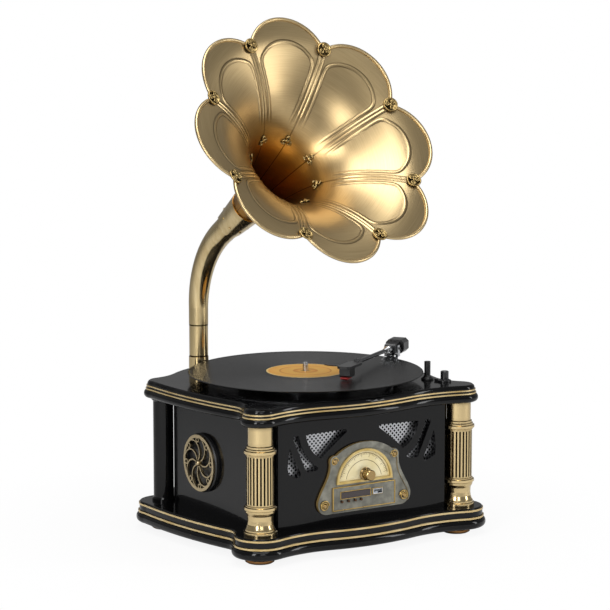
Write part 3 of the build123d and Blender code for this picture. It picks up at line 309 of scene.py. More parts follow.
turn = add(tree, "ShaderNodeMath", {"operation": "ARCTAN2"}, i0=deep.outputs["Value"],
           i1=across.outputs["Value"])
turn = add(tree, "ShaderNodeMath", {"operation": "MULTIPLY"}, i0=turn.outputs["Value"], i1=FLUTES)
wave = add(tree, "ShaderNodeMath", {"operation": "COSINE"}, i0=turn.outputs["Value"])
in_flute = add(tree, "ShaderNodeMapRange", Value=wave.outputs["Value"], From_Min=-0.1, From_Max=0.2)
off_drum = add(tree, "ShaderNodeMath", {"operation": "SUBTRACT"}, i0=split.outputs["Z"],
               i1=column_low.z + DRUM_MIDDLE)
off_drum = add(tree, "ShaderNodeMath", {"operation": "ABSOLUTE"}, i0=off_drum.outputs["Value"])
on_drum = add(tree, "ShaderNodeMath", {"operation": "LESS_THAN"}, i0=off_drum.outputs["Value"],
              i1=DRUM_HALF_HEIGHT)
# Painted shade: the flutes at the drum's height take a near-black colour, standing for the shade that falls in
# them between the ribs.
flute_shade_mask = add(tree, "ShaderNodeMath", {"operation": "MULTIPLY"}, i0=in_flute.outputs["Result"],
              i1=on_drum.outputs["Value"])
bare = shader.inputs["Base Color"].links[0].from_socket
flute_shade = add(tree, "ShaderNodeMix", {"data_type": "RGBA"}, i0=flute_shade_mask.outputs["Value"], i6=bare,
            i7=colour("#0d0906"))
tree.links.new(flute_shade.outputs[2], shader.inputs["Base Color"])

# %% [markdown]
# ### Gilt lines
# Each moulding has two gold pinstripes, which on such cabinets are brass-coloured lacquer
# laid in the coves. They are brighter and smoother than the brass castings.

# %% Gilt lines
gilt, tree, shader = finish("gold_lacquer_line", "#dcc593", metallic=1.0, roughness=0.28)
where = add(tree, "ShaderNodeTexCoord").outputs["Object"]
streak = add(tree, "ShaderNodeTexNoise", Vector=where, Scale=45.0, Detail=3.0)
tone = ramp(tree, streak.outputs["Fac"], [(0.3, "#c9ad74"), (0.7, "#e2cd9e")])
tree.links.new(tone.outputs["Color"], shader.inputs["Base Color"])
dress(gilt, "plinth_gilt_lines", "top_gilt_lines")

# %% [markdown]
# ### Brushed horn brass
# The horn is spun sheet brass, brushed and then lacquered. Brushing leaves fine lines that
# run round the horn, so a highlight is drawn out across them. The piece carries its own map:
# the first number runs round the horn and the second from throat to rim.

# %% Brushed horn brass
horn_brass, tree, shader = finish("spun_brass_brushed_lacquered", "#c4af8a", metallic=1.0, roughness=0.3,
                                  Anisotropic=0.5)
on_skin = add(tree, "ShaderNodeUVMap", {"uv_map": "surface"}).outputs["UV"]
# Brush lines are near 0.1 mm apart on the real sheet and are drawn about 0.7 mm apart
stretch = add(tree, "ShaderNodeMapping", Vector=on_skin, Scale=(18.0, 330.0, 1.0))
lines = add(tree, "ShaderNodeTexNoise", Vector=stretch.outputs["Vector"], Scale=1.0, Detail=2.0)
split = add(tree, "ShaderNodeSeparateXYZ", Vector=on_skin)
# Painted shade and painted reflection: the colour runs from dark amber at the throat to pale brass at the rim,
# standing for the shade deep in the horn and the brass it mirrors there.
throat_shade_tone = ramp(tree, split.outputs["Y"], [(0.0, "#6b4818"), (0.2, "#a3762f"), (0.4, "#b8955c"),
                                             (0.58, "#bca47a"), (1.0, "#c4ae84")])
lines_tone = ramp(tree, lines.outputs["Fac"], [(0.3, "#eeebe4"), (0.7, "#ffffff")])
tinted = add(tree, "ShaderNodeMix", {"data_type": "RGBA", "blend_type": "MULTIPLY"}, i0=1.0,
             i6=throat_shade_tone.outputs["Color"], i7=lines_tone.outputs["Color"])
tree.links.new(tinted.outputs[2], shader.inputs["Base Color"])
gloss = add(tree, "ShaderNodeMapRange", Value=lines.outputs["Fac"], To_Min=0.27, To_Max=0.36)
tree.links.new(gloss.outputs["Result"], shader.inputs["Roughness"])
around = add(tree, "ShaderNodeTangent", {"direction_type": "UV_MAP", "uv_map": "surface"})
tree.links.new(around.outputs["Tangent"], shader.inputs["Tangent"])
bump = add(tree, "ShaderNodeBump", Height=lines.outputs["Fac"], Strength=0.015, Distance=0.0003)
tree.links.new(bump.outputs["Normal"], shader.inputs["Normal"])

# %% [markdown]
# The eight sheets meet in seams that run on down the throat as thin dark lines. The map's first
# number times eight is whole on a seam, so the distance to the nearest whole number draws
# them. The line fades out where the pressed rib takes over. Beside each rib, dark painted shade
# lies in the creases, which the shape below works out and stores as an attribute.

# %% Seam lines in the throat
PETALS = 8
eighths = add(tree, "ShaderNodeMath", {"operation": "MULTIPLY"}, i0=split.outputs["X"], i1=float(PETALS))
whole = add(tree, "ShaderNodeMath", {"operation": "ROUND"}, i0=eighths.outputs["Value"])
off = add(tree, "ShaderNodeMath", {"operation": "SUBTRACT"}, i0=eighths.outputs["Value"],
          i1=whole.outputs["Value"])
off = add(tree, "ShaderNodeMath", {"operation": "ABSOLUTE"}, i0=off.outputs["Value"])
line = add(tree, "ShaderNodeMapRange", Value=off.outputs["Value"], From_Min=0.012, From_Max=0.03,
           To_Min=0.75, To_Max=0.0)
deep = add(tree, "ShaderNodeMapRange", Value=split.outputs["Y"], From_Min=0.45, From_Max=0.65,
           To_Min=1.0, To_Max=0.0)
drawn = add(tree, "ShaderNodeMath", {"operation": "MULTIPLY"}, i0=line.outputs["Result"],
            i1=deep.outputs["Result"])
seamed = add(tree, "ShaderNodeMix", {"data_type": "RGBA"}, i0=drawn.outputs["Value"], i6=tinted.outputs[2],
             i7=colour("#2c1c0a"))
# Painted shade read from the mesh: dark brown in the creases beside the pressed ribs.
relief_shade = add(tree, "ShaderNodeAttribute", {"attribute_name": "relief_shade"})
relief_shaded = add(tree, "ShaderNodeMix", {"data_type": "RGBA"}, i0=relief_shade.outputs["Fac"], i6=seamed.outputs[2],
              i7=colour("#33230f"))
tree.links.new(relief_shaded.outputs[2], shader.inputs["Base Color"])

# %% [markdown]
# ### Swan neck tube
# The neck is drawn brass tube in three lengths, with a dark line of solder where two
# lengths meet. Object coordinates put the lines at their true heights.

# %% Swan neck tube
tube_brass, tree, shader = finish("drawn_brass_tube_antiqued", "#cdb88c", metallic=1.0, roughness=0.16)
where = add(tree, "ShaderNodeTexCoord").outputs["Object"]
height = add(tree, "ShaderNodeSeparateXYZ", Vector=where).outputs["Z"]
long_grain = add(tree, "ShaderNodeMapping", Vector=where, Scale=(160.0, 160.0, 9.0))
grain = add(tree, "ShaderNodeTexNoise", Vector=long_grain.outputs["Vector"], Scale=1.0, Detail=4.0)
tone = ramp(tree, grain.outputs["Fac"], [(0.3, "#bda677"), (0.7, "#d6c296")])
SOLDER_HEIGHTS = (0.2520, 0.2112)
SOLDER_HALF_WIDTH = 0.0009
solder = []
for z in SOLDER_HEIGHTS:
    away = add(tree, "ShaderNodeMath", {"operation": "SUBTRACT"}, i0=height, i1=z)
    near = add(tree, "ShaderNodeMath", {"operation": "ABSOLUTE"}, i0=away.outputs["Value"])
    inside = add(tree, "ShaderNodeMath", {"operation": "LESS_THAN"}, i0=near.outputs["Value"],
                 i1=SOLDER_HALF_WIDTH)
    solder.append(inside.outputs["Value"])
either = add(tree, "ShaderNodeMath", {"operation": "MAXIMUM"}, i0=solder[0], i1=solder[1])
joint = add(tree, "ShaderNodeMix", {"data_type": "RGBA"}, i0=either.outputs["Value"], i6=tone.outputs["Color"],
            i7=colour("#33240f"))
tree.links.new(joint.outputs[2], shader.inputs["Base Color"])
gloss = add(tree, "ShaderNodeMapRange", Value=grain.outputs["Fac"], To_Min=0.13, To_Max=0.2)
tree.links.new(gloss.outputs["Result"], shader.inputs["Roughness"])
dress(tube_brass, "swan_neck", "horn_stem", "horn_socket", "horn_sleeve")

# %% [markdown]
# ## The horn
# The bell is one skin whose depth depends on its radius, cut to eight round petals. Its
# profile is a smooth curve through eight measured points. A natural cubic spline does that:
# its second derivatives solve a small set of linear equations.

# %% Bell profile
BELL = np.array([(16.3, -206), (20.4, -170), (30.5, -125), (47, -77), (75, -40), (110, -14), (143, 0),
                 (174, 6)], float)
ROLL = math.radians(17.2)
NOTCH_R = 143.0
TIP_R = 172.0


def spline(knots, values, at):
    """Natural cubic spline.

    m holds second derivatives: h0 m0 + 2 (h0 + h1) m1 + h1 m2 = 6 (slope1 - slope0).
    """
    h = np.diff(knots)
    slope = np.diff(values, axis=0) / h[:, None]
    n = len(knots)
    system = np.eye(n)
    right = np.zeros((n, values.shape[1]))
    k = np.arange(1, n - 1)
    system[k, k - 1], system[k, k], system[k, k + 1] = h[:-1], 2 * (h[:-1] + h[1:]), h[1:]
    right[k] = 6 * np.diff(slope, axis=0)
    m = np.linalg.solve(system, right)
    i = np.clip(np.searchsorted(knots, at) - 1, 0, n - 2)
    a, b = (knots[i + 1] - at)[..., None], (at - knots[i])[..., None]
    w = h[i][..., None]
    return (m[i] * a ** 3 + m[i + 1] * b ** 3) / (6 * w) + (values[i] / w - m[i] * w / 6) * a + (
        values[i + 1] / w - m[i + 1] * w / 6) * b


knots = np.concatenate([[0], np.cumsum(np.linalg.norm(np.diff(BELL, axis=0), axis=1))])
dense = np.linspace(0, knots[-1], 600)
profile = spline(knots, BELL, dense)
radius_of, depth_of = profile[:, 0], profile[:, 1]
out_normal = unit(np.stack([-np.gradient(depth_of), np.gradient(radius_of)], -1))
print("bell profile is", round(float(knots[-1]), 1), "mm long")

# %% [markdown]
# Seen from the front each petal is a round arc from notch to notch. For a circle centred at
# distance c from the bell's axis, the edge lies at c cos d + sqrt(p^2 - c^2 sin^2 d), where d
# is the angle from the petal's middle and p the arc's radius.

# %% Petal outline
half = math.pi / PETALS
arc_c = (TIP_R ** 2 - NOTCH_R ** 2) / (2 * (TIP_R - NOTCH_R * math.cos(half)))
arc_p = TIP_R - arc_c


def edge_radius(d):
    return arc_c * np.cos(d) + np.sqrt(arc_p ** 2 - (arc_c * np.sin(d)) ** 2)


aim, tilt = math.radians(3.0), math.radians(34.0)
horn_z = np.array([math.sin(aim) * math.cos(tilt), -math.cos(aim) * math.cos(tilt), math.sin(tilt)])
horn_x = np.array([math.cos(aim), math.sin(aim), 0.0])
horn_y = np.cross(horn_z, horn_x)
HORN_MIDDLE = np.array([-70 + 253 * math.sin(aim), 125 - 253 * math.cos(aim), 512.0])


def in_horn(angle, r, z):
    """Bell coordinates (angle, radius, depth in mm) to scene metres."""
    flat = r[..., None] * (np.cos(angle)[..., None] * horn_x + np.sin(angle)[..., None] * horn_y)
    return place(HORN_MIDDLE + flat + z[..., None] * horn_z)


print("petal arc radius is", round(arc_p, 1), "mm")

# %% [markdown]
# The sheet is pressed before it is joined. Each petal has an embossed outline that follows
# its seams and closes in an arch below the rim, and each seam is a folded double rib. Both
# are a small height added to the skin: a smooth bump of the distance from a line. The
# outline takes the lesser of two distances, from the seam and from the arch, and rounds the
# corner between them. Columns of the grid crowd together near the seams, where the ribs are.

# %% Pressed skin
PER_PETAL = 64
u = (np.arange(PER_PETAL) / PER_PETAL) * 2 - 1
SEAM_CROWDING, RIM_CROWDING = 0.62, 0.62
local = half * (u + SEAM_CROWDING * np.sin(np.pi * u) / np.pi)
angle = (ROLL + half + np.arange(PETALS)[:, None] * 2 * half + local[None]).ravel()
away = np.tile(local, PETALS)
INSIDE_RIM = 1.4
edge_s = np.interp(edge_radius(away) - INSIDE_RIM, radius_of, dense)
FRONT_ROWS, BACK_ROWS = 146, 34
front_t = np.linspace(0, 1, FRONT_ROWS) ** RIM_CROWDING
SHEET = 1.3
ARCH_MIDDLE, ARCH_R = 98.0, 43.0      # the arch that closes each petal's outline
OUTLINE_FROM_SEAM = 8.5
ROUNDING = 6.0
RIB_FROM_SEAM, RIB_HALF_W, RIB_H = 2.3, 1.9, 0.9
OUTLINE_H = 0.8
FADE_R, FADE_SPAN = 58.0, 12.0        # the relief rises from nothing over this radius


def bump_at(distance, width):
    """A round ridge: cos^2 of the distance inside its width, else 0."""
    x = np.clip(distance / width, -1, 1)
    return np.cos(x * np.pi / 2) ** 2


def skin(rows, lift):
    """Points of the bell's surface, their lengths along it, and the painted shade in the relief's creases.

    The point is moved along the normal by relief * lift[0] + lift[1].
    """
    s = edge_s[None] * rows[:, None]
    r = np.interp(s, dense, radius_of)
    z = np.interp(s, dense, depth_of)
    normal_r, normal_z = (np.interp(s, dense, part) for part in out_normal.T)
    from_seam = r * np.sin(half - np.abs(away))[None]
    x, y = r * np.cos(away)[None], r * np.sin(away)[None]
    arch = ARCH_R - np.where(x > ARCH_MIDDLE, np.hypot(x - ARCH_MIDDLE, y), np.abs(y))
    side = from_seam - OUTLINE_FROM_SEAM
    blend = np.clip(ROUNDING - np.abs(arch - side), 0, None)
    inside = np.minimum(arch, side) - blend ** 2 / (4 * ROUNDING)
    fade = np.clip((r - FADE_R) / FADE_SPAN, 0, 1)
    rib = RIB_H * bump_at(from_seam - RIB_FROM_SEAM, RIB_HALF_W)
    relief = fade * (rib + OUTLINE_H * bump_at(inside, RIB_HALF_W))
    # Painted shade: dark bands in the creases beside each rib and beside the outline, where the relief's shade
    # falls.
    corner = bump_at(from_seam, 0.9) + bump_at(from_seam - 2 * RIB_FROM_SEAM, 1.1)
    corner = corner + bump_at(np.abs(inside) - RIB_HALF_W - 0.2, 1.1)
    reach = relief * lift[0] + lift[1]
    points = in_horn(np.broadcast_to(angle, r.shape), r + normal_r * reach, z + normal_z * reach)
    return points, s, np.clip(fade * corner, 0, 1) * 0.8 * lift[0]


front, front_s, front_relief_shade = skin(front_t, (1.0, 0.0))
back, back_s, back_relief_shade = skin(np.linspace(1, 0, BACK_ROWS), (0.4, -SHEET))
rows = np.concatenate([front, back])
turn = np.broadcast_to((angle - angle[0]) / (2 * np.pi), rows.shape[:2])
along = np.concatenate([front_s, back_s]) / knots[-1]
bell = grid_object("horn_bell", rows, closed_rows=True, closed_cols=True, uv=np.stack([turn, along], -1),
                   relief_shade=np.concatenate([front_relief_shade, back_relief_shade]))
print("bell has", len(bell.data.polygons), "faces")

# %% [markdown]
# The edge of the sheet is rolled over a wire. The rim follows the petals' outline just
# inside their tips, so that its outer side is the true edge of the horn.

# %% Rolled rim
RIM_R = 2.3
dense_local = np.linspace(-half, half, 40, endpoint=False)
rim_angle = (ROLL + half + np.arange(PETALS)[:, None] * 2 * half + dense_local[None]).ravel()
rim_radius = edge_radius(np.tile(dense_local, PETALS)) - RIM_R
rim_depth = np.interp(rim_radius, radius_of, depth_of)
rim_path = in_horn(rim_angle, rim_radius, rim_depth)
RIM_SIDES = 14
rim_points = tube_points(rim_path, RIM_R / 1000, horn_z, RIM_SIDES, closed=True).swapaxes(0, 1)
rim_map = np.stack(np.broadcast_arrays(np.linspace(0, 1, len(rim_path), endpoint=False)[None],
                                       np.linspace(0.95, 0.99, RIM_SIDES)[:, None]), -1)
rim = grid_object("horn_rim", rim_points, closed_rows=True, closed_cols=True, uv=rim_map)
for piece in (bell, rim):
    piece.data.materials.append(horn_brass)
horn_bell = joined("horn_bell", [bell, rim])
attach(horn_bell, "horn")
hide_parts("horn_petals", "horn_seams")

# %% [markdown]
# ## Clasps
# A cast rosette covers the rim where two petals meet: a round disc with a beaded edge, and
# three scrolls with a small eye in each, round a boss. Three leaves round a stud sit where
# each seam enters the throat. All are drawn in their own plane and then stood on the bell,
# tilted with the skin.

# %% Clasp and ornament shapes


def turned_points(outline, sides):
    """Surface of revolution: (radius, height) points turned about the third axis."""
    a = np.linspace(0, 2 * np.pi, sides, endpoint=False)
    r, h = np.asarray(outline, float).T
    height = np.broadcast_to(h[:, None], (len(r), sides))
    return np.stack([r[:, None] * np.cos(a), r[:, None] * np.sin(a), height], -1)


def scroll(turns, start, end, samples=40):
    """Flat spiral: its radius runs evenly from start to end as it turns."""
    a = np.linspace(0, turns * 2 * np.pi, samples)
    r = np.linspace(start, end, samples)
    return np.stack([r * np.cos(a), r * np.sin(a), np.zeros(samples)], -1)


def stand(points, angle_at, r, lift):
    """Local millimetre points laid on the bell at an angle and radius, in metres, and the normal."""
    s = np.interp(r, radius_of, dense)
    z = np.interp(s, dense, depth_of)
    nr, nz = np.interp(s, dense, out_normal[:, 0]), np.interp(s, dense, out_normal[:, 1])
    radial = math.cos(angle_at) * horn_x + math.sin(angle_at) * horn_y
    side = np.cross(horn_z, radial)
    normal = nr * radial + nz * horn_z
    out = np.cross(side, normal)
    base = HORN_MIDDLE + r * radial + z * horn_z + lift * normal
    laid = base + points[..., 0:1] * out + points[..., 1:2] * side + points[..., 2:3] * normal
    return place(laid), normal


def spun(points, by):
    """Local points turned about the third axis."""
    c, n = math.cos(by), math.sin(by)
    return points @ np.array([[c, n, 0], [-n, c, 0], [0, 0, 1]])


CLASP = [(0, 1.2), (7.4, 1.2), (7.9, 2.6), (8.7, 3.0), (9.4, 2.2), (9.4, 0.6), (8.6, 0), (0, 0)]
BOSS = [(0, 4.0), (0.9, 3.8), (1.7, 3.0), (2.0, 1.2), (0, 1.2)]
EYE = [(0, 3.0), (0.7, 2.8), (1.1, 2.1), (1.1, 1.2), (0, 1.2)]
STUD = [(0, 2.6), (1.8, 2.2), (3.0, 1.2), (3.2, 0), (0, 0)]
THROAT_R = 47.0
CLASP_R = NOTCH_R - 1.0
CLASP_LIFT, STUD_LIFT = 1.2, 0.4
CURL_AT = 4.6
THIRD = 2 * np.pi / 3
clasps, ornaments = [], []
for i in range(PETALS):
    at = ROLL + i * 2 * half
    for shape in (CLASP, BOSS):
        points, normal = stand(turned_points(shape, 28), at, CLASP_R, CLASP_LIFT)
        clasps.append(grid_object("clasp", points, closed_cols=True))
    for k in range(3):
        way = k * THIRD + 0.3
        points, normal = stand(spun(scroll(1.3, 2.9, 1.6) + (CURL_AT, 0, 2.3), way), at, CLASP_R, CLASP_LIFT)
        clasps.append(tube("curl", points, 0.0008, normal, sides=8))
        points, normal = stand(spun(turned_points(EYE, 12) + (CURL_AT, 0, 0), way), at, CLASP_R, CLASP_LIFT)
        clasps.append(grid_object("eye", points, closed_cols=True))
    for k in range(3):
        leaf = spun(scroll(1.2, 3.3, 1.4, 28) + (4.0, 0, 1.0), k * THIRD)
        points, normal = stand(leaf, at, THROAT_R, STUD_LIFT)
        ornaments.append(tube("leaf", points, 0.001, normal, sides=8))
    points, normal = stand(turned_points(STUD, 20), at, THROAT_R, STUD_LIFT)
    ornaments.append(grid_object("stud", points, closed_cols=True))
horn_clasps = joined("horn_clasp_castings", clasps)
horn_ornaments = joined("horn_throat_studs", ornaments)
clasp_brass = antique("cast_brass_dark_antiqued", "#a8905f", "#140d06", 0.004, 3.0, 0.28)
for piece, node in ((horn_clasps, "horn_clasps"), (horn_ornaments, "horn_ornaments")):
    piece.data.materials.clear()
    piece.data.materials.append(clasp_brass)
    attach(piece, "horn")
    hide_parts(node)

# %% [markdown]
# ## The record
# A pressed vinyl disc with fine grooves. The grooves run round the spindle, so light is
# spread across them into bright sectors: that is an anisotropic gloss with its tangent
# going round. Real grooves are near 0.1 mm apart; these are drawn 1.1 mm apart, in bands
# that stand for the tracks.

# %% Vinyl
vinyl, tree, shader = finish("pressed_vinyl_grooved", "#0b0b0c", roughness=0.26, Anisotropic=0.8,
                             Specular_IOR_Level=0.42, IOR=1.5)
where = add(tree, "ShaderNodeTexCoord").outputs["Object"]
GROOVE_PITCH = 0.0011
centre = place(RECORD_AT)
centred = add(tree, "ShaderNodeMapping", Vector=where, Location=(-centre[0], -centre[1], 0.0),
              Scale=(1.0, 1.0, 0.0))
span = add(tree, "ShaderNodeVectorMath", {"operation": "LENGTH"}, i0=centred.outputs["Vector"]).outputs["Value"]
groove = add(tree, "ShaderNodeMath", {"operation": "MULTIPLY"}, i0=span, i1=2 * math.pi / GROOVE_PITCH)
wave = add(tree, "ShaderNodeMath", {"operation": "SINE"}, i0=groove.outputs["Value"])
bump = add(tree, "ShaderNodeBump", Height=wave.outputs["Value"], Strength=0.12, Distance=0.0002)
tree.links.new(bump.outputs["Normal"], shader.inputs["Normal"])
band_at = add(tree, "ShaderNodeMath", {"operation": "MULTIPLY"}, i0=span, i1=52.0)
bands = add(tree, "ShaderNodeTexNoise", {"noise_dimensions": "1D"}, W=band_at.outputs["Value"], Scale=3.0,
            Detail=2.0)
tone = ramp(tree, bands.outputs["Fac"], [(0.35, "#040404"), (0.65, "#0f0f10")])
tree.links.new(tone.outputs["Color"], shader.inputs["Base Color"])
round_spindle = add(tree, "ShaderNodeTangent", {"direction_type": "RADIAL", "axis": "Z"})
tree.links.new(round_spindle.outputs["Tangent"], shader.inputs["Tangent"])
dress(vinyl, "record")

# %% [markdown]
# The label is matt printed paper in orange. It bears plain rings and nothing else.

# %% Label paper
label, tree, shader = finish("printed_label_paper", "#f2b14e", roughness=0.5)
where = add(tree, "ShaderNodeTexCoord").outputs["Object"]
centred = add(tree, "ShaderNodeMapping", Vector=where, Location=(-centre[0], -centre[1], 0.0),
              Scale=(1.0, 1.0, 0.0))
span = add(tree, "ShaderNodeVectorMath", {"operation": "LENGTH"}, i0=centred.outputs["Vector"]).outputs["Value"]
rings = add(tree, "ShaderNodeMapRange", Value=span, From_Max=0.05)
tone = ramp(tree, rings.outputs["Result"], [
    (0.0, "#7a5426"), (0.16, "#ffc15a"), (0.30, "#e3902e"), (0.34, "#ffc862"), (0.62, "#ffc15a"),
    (0.65, "#dd8828"), (0.69, "#ffc862"), (0.95, "#fbb54c"), (0.97, "#ffdd96")])
fibre = add(tree, "ShaderNodeTexNoise", Vector=where, Scale=900.0, Detail=3.0)
bump = add(tree, "ShaderNodeBump", Height=fibre.outputs["Fac"], Strength=0.1, Distance=0.0002)
tree.links.new(tone.outputs["Color"], shader.inputs["Base Color"])
tree.links.new(bump.outputs["Normal"], shader.inputs["Normal"])
dress(label, "record_label")

# %% [markdown]
# ## The radio plate
# The plate is cast zinc alloy with a hammered, granular ground stained grey-green, and a
# narrow edge polished to brass colour. Every edge face turns away from the front, so the
# face's own direction tells ground from edge.

# %% Stained plate
pewter, tree, shader = finish("cast_zinc_stained_granular", "#7c7b72", metallic=0.7, roughness=0.5)
where = add(tree, "ShaderNodeTexCoord").outputs["Object"]
# The ground's grains are about half a millimetre across
grains = add(tree, "ShaderNodeTexVoronoi", Vector=where, Scale=1250.0)
patches = add(tree, "ShaderNodeTexNoise", Vector=where, Scale=90.0, Detail=3.0)
tone = ramp(tree, patches.outputs["Fac"], [(0.3, "#66665e"), (0.5, "#7c7b72"), (0.7, "#919085")])
geometry = add(tree, "ShaderNodeNewGeometry")
facing = add(tree, "ShaderNodeSeparateXYZ", Vector=geometry.outputs["True Normal"])
straight = add(tree, "ShaderNodeMath", {"operation": "ABSOLUTE"}, i0=facing.outputs["Y"])
edge = add(tree, "ShaderNodeMath", {"operation": "LESS_THAN"}, i0=straight.outputs["Value"], i1=0.85)
gold = add(tree, "ShaderNodeMix", {"data_type": "RGBA"}, i0=edge.outputs["Value"], i6=tone.outputs["Color"],
           i7=colour("#b3965c"))
tree.links.new(gold.outputs[2], shader.inputs["Base Color"])
bump = add(tree, "ShaderNodeBump", Height=grains.outputs["Distance"], Strength=0.35, Distance=0.0004)
tree.links.new(bump.outputs["Normal"], shader.inputs["Normal"])
dress(pewter, "radio_plate")
polished = antique("cast_zinc_brass_plated", "#c8a966", "#54401f", 0.002, 5.0, 0.28)

# %% [markdown]
# Ornament on the plate is raised wire work: a border round the lower box, a narrow bezel round
# the display and one round the socket, and four scrolls. Each is a thin half-sunk tube.

# %% Plate ornament
FACE_Y = -156.1


def on_plate(x, z, y=FACE_Y):
    """Front-plane x and z in millimetres as points just proud of the plate."""
    x, z = np.broadcast_arrays(np.asarray(x, float), np.asarray(z, float))
    return place(np.stack([x, np.full(x.shape, y), z], -1))


FORWARD = np.array([0.0, -1.0, 0.0])
EAR, SHOULDER = (1.8, 6.6, 2.6, 70), (1.2, 5.2, 2.6, 50)
ornament = []
for x_mid, z_mid, way, curl_of, wire in (
        (-60.0, 60.5, 1, EAR, 0.0008), (60.0, 60.5, -1, EAR, 0.0008),
        (-45.0, 115.0, 1, SHOULDER, 0.0007), (45.0, 115.0, -1, SHOULDER, 0.0007)):
    curl = scroll(*curl_of)
    path = on_plate(x_mid + way * curl[:, 0], z_mid + curl[:, 1])
    ornament.append(tube("scroll", path, wire, FORWARD, sides=8))
steps = np.linspace(0, 1, 24, endpoint=False)[:, None]
for x_low, z_low, x_high, z_high, y, wire in ((-47.5, 52.6, 45.5, 81.4, -156.4, 0.0007),
                                              (-36.6, 66.4, 8.6, 75.6, -156.5, 0.0005),
                                              (11.6, 67.3, 26.4, 74.7, -156.4, 0.0005)):
    corners = np.array([(x_low, z_low), (x_high, z_low), (x_high, z_high), (x_low, z_high)])
    runs = np.roll(corners, -1, 0) - corners
    line = (corners[:, None] + runs[:, None] * steps).reshape(-1, 2)
    ornament.append(tube("border", on_plate(line[:, 0], line[:, 1], y), wire, FORWARD, sides=8, closed=True))
plate_ornament = joined("radio_plate_ornament", ornament)
plate_ornament.data.materials.clear()
plate_ornament.data.materials.append(polished)
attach(plate_ornament, "cabinet")

# %% [markdown]
# The dial is a cream enamelled half moon. A tuning scale is two printed arcs with short
# strokes between them. They lie on the enamel as thin brown bars.

# %% Dial scale
DIAL_FACE_Y = -154.05
ARC_MIDDLE_Z = 85.0
STROKE_TOP, LONG_STROKE, SHORT_STROKE = 35.6, 31.0, 33.4
marks = []
for radius, width in ((36.0, 0.35), (27.0, 0.3)):
    a = np.radians(np.linspace(12, 168, 80))
    path = on_plate(radius * np.cos(a), ARC_MIDDLE_Z + radius * np.sin(a), DIAL_FACE_Y)
    marks.append(tube("arc", path, width / 1000, FORWARD, sides=6))
for k, a in enumerate(np.radians(np.linspace(16, 164, 38))):
    r = np.array([LONG_STROKE if k % 5 == 0 else SHORT_STROKE, STROKE_TOP])
    path = on_plate(r * math.cos(a), ARC_MIDDLE_Z + r * math.sin(a), DIAL_FACE_Y)
    marks.append(tube("stroke", path, 0.00022, FORWARD, sides=6))
dial_scale = joined("dial_scale", marks)
ink, tree, shader = finish("printed_brown_ink", "#5b4426", roughness=0.6)
where = add(tree, "ShaderNodeTexCoord").outputs["Object"]
fade = add(tree, "ShaderNodeTexNoise", Vector=where, Scale=500.0)
tone = ramp(tree, fade.outputs["Fac"], [(0.3, "#4a3519"), (0.7, "#7a6038")])
tree.links.new(tone.outputs["Color"], shader.inputs["Base Color"])
dial_scale.data.materials.clear()
dial_scale.data.materials.append(ink)
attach(dial_scale, "cabinet")

enamel, tree, shader = finish("cream_enamel", "#e6d9a8", roughness=0.35, Coat_Weight=0.4)
where = add(tree, "ShaderNodeTexCoord").outputs["Object"]
age = add(tree, "ShaderNodeTexNoise", Vector=where, Scale=40.0, Detail=3.0)
tone = ramp(tree, age.outputs["Fac"], [(0.3, "#dccb92"), (0.7, "#efe4bd")])
tree.links.new(tone.outputs["Color"], shader.inputs["Base Color"])
dress(enamel, "dial_face")
rim_paint, tree, shader = finish("pale_gold_paint", "#c9ae6a", metallic=0.6, roughness=0.3)
where = add(tree, "ShaderNodeTexCoord").outputs["Object"]
age = add(tree, "ShaderNodeTexNoise", Vector=where, Scale=60.0, Detail=3.0)
tone = ramp(tree, age.outputs["Fac"], [(0.3, "#bfa25c"), (0.7, "#d8c184")])
tree.links.new(tone.outputs["Color"], shader.inputs["Base Color"])
dress(rim_paint, "dial_rim")

# %% [markdown]
# The display is dark red-brown acrylic, glossy and almost black.

# %% Display acrylic
acrylic, tree, shader = finish("smoked_acrylic", "#1c0b0a", roughness=0.1, Coat_Weight=0.6, Coat_Roughness=0.05)
where = add(tree, "ShaderNodeTexCoord").outputs["Object"]
cloud = add(tree, "ShaderNodeTexNoise", Vector=where, Scale=70.0)
tone = ramp(tree, cloud.outputs["Fac"], [(0.3, "#150807"), (0.7, "#2a1210")])
tree.links.new(tone.outputs["Color"], shader.inputs["Base Color"])
dress(acrylic, "display_window")

# %% [markdown]
# ## Grille mesh
# Behind the cut-outs is pressed steel sheet with small diamond holes, painted silver. Two
# families of diagonal lines make the diamonds: where both sines are high there is a hole.
# The holes are 2.5 mm wide and 4.3 mm apart.

# %% Pressed mesh
mesh_steel, tree, shader = finish("pressed_steel_diamond_mesh", "#c6c7ca", metallic=0.9, roughness=0.3)
where = add(tree, "ShaderNodeTexCoord").outputs["Object"]
MESH_PITCH = 0.0043
turned_45 = add(tree, "ShaderNodeMapping", Vector=where, Rotation=(0.0, math.radians(45), 0.0))
split = add(tree, "ShaderNodeSeparateXYZ", Vector=turned_45.outputs["Vector"])
waves = []
for axis in ("X", "Z"):
    phase = add(tree, "ShaderNodeMath", {"operation": "MULTIPLY"}, i0=split.outputs[axis],
                i1=2 * math.pi / MESH_PITCH)
    wave = add(tree, "ShaderNodeMath", {"operation": "SINE"}, i0=phase.outputs["Value"])
    waves.append(wave.outputs["Value"])
lowest = add(tree, "ShaderNodeMath", {"operation": "MINIMUM"}, i0=waves[0], i1=waves[1])
hole = add(tree, "ShaderNodeMapRange", Value=lowest.outputs["Value"], From_Min=-0.3, From_Max=-0.1)
tone = ramp(tree, hole.outputs["Result"], [(0.0, "#b9babd"), (1.0, "#050506")])
tree.links.new(tone.outputs["Color"], shader.inputs["Base Color"])
bump = add(tree, "ShaderNodeBump", {"invert": True}, Height=hole.outputs["Result"], Strength=0.8,
           Distance=0.0008)
tree.links.new(bump.outputs["Normal"], shader.inputs["Normal"])
dress(mesh_steel, "grille_meshes")

# %% [markdown]
# ## Plain metals, rubber and plastics
# What is left is bright chrome plate, satin aluminium tube, painted metal, moulded plastic
# and rubber. They share a recipe: one colour with slight cloudy variation, a gloss that
# varies with it, and a grain in the bump.

# %% Plain finishes


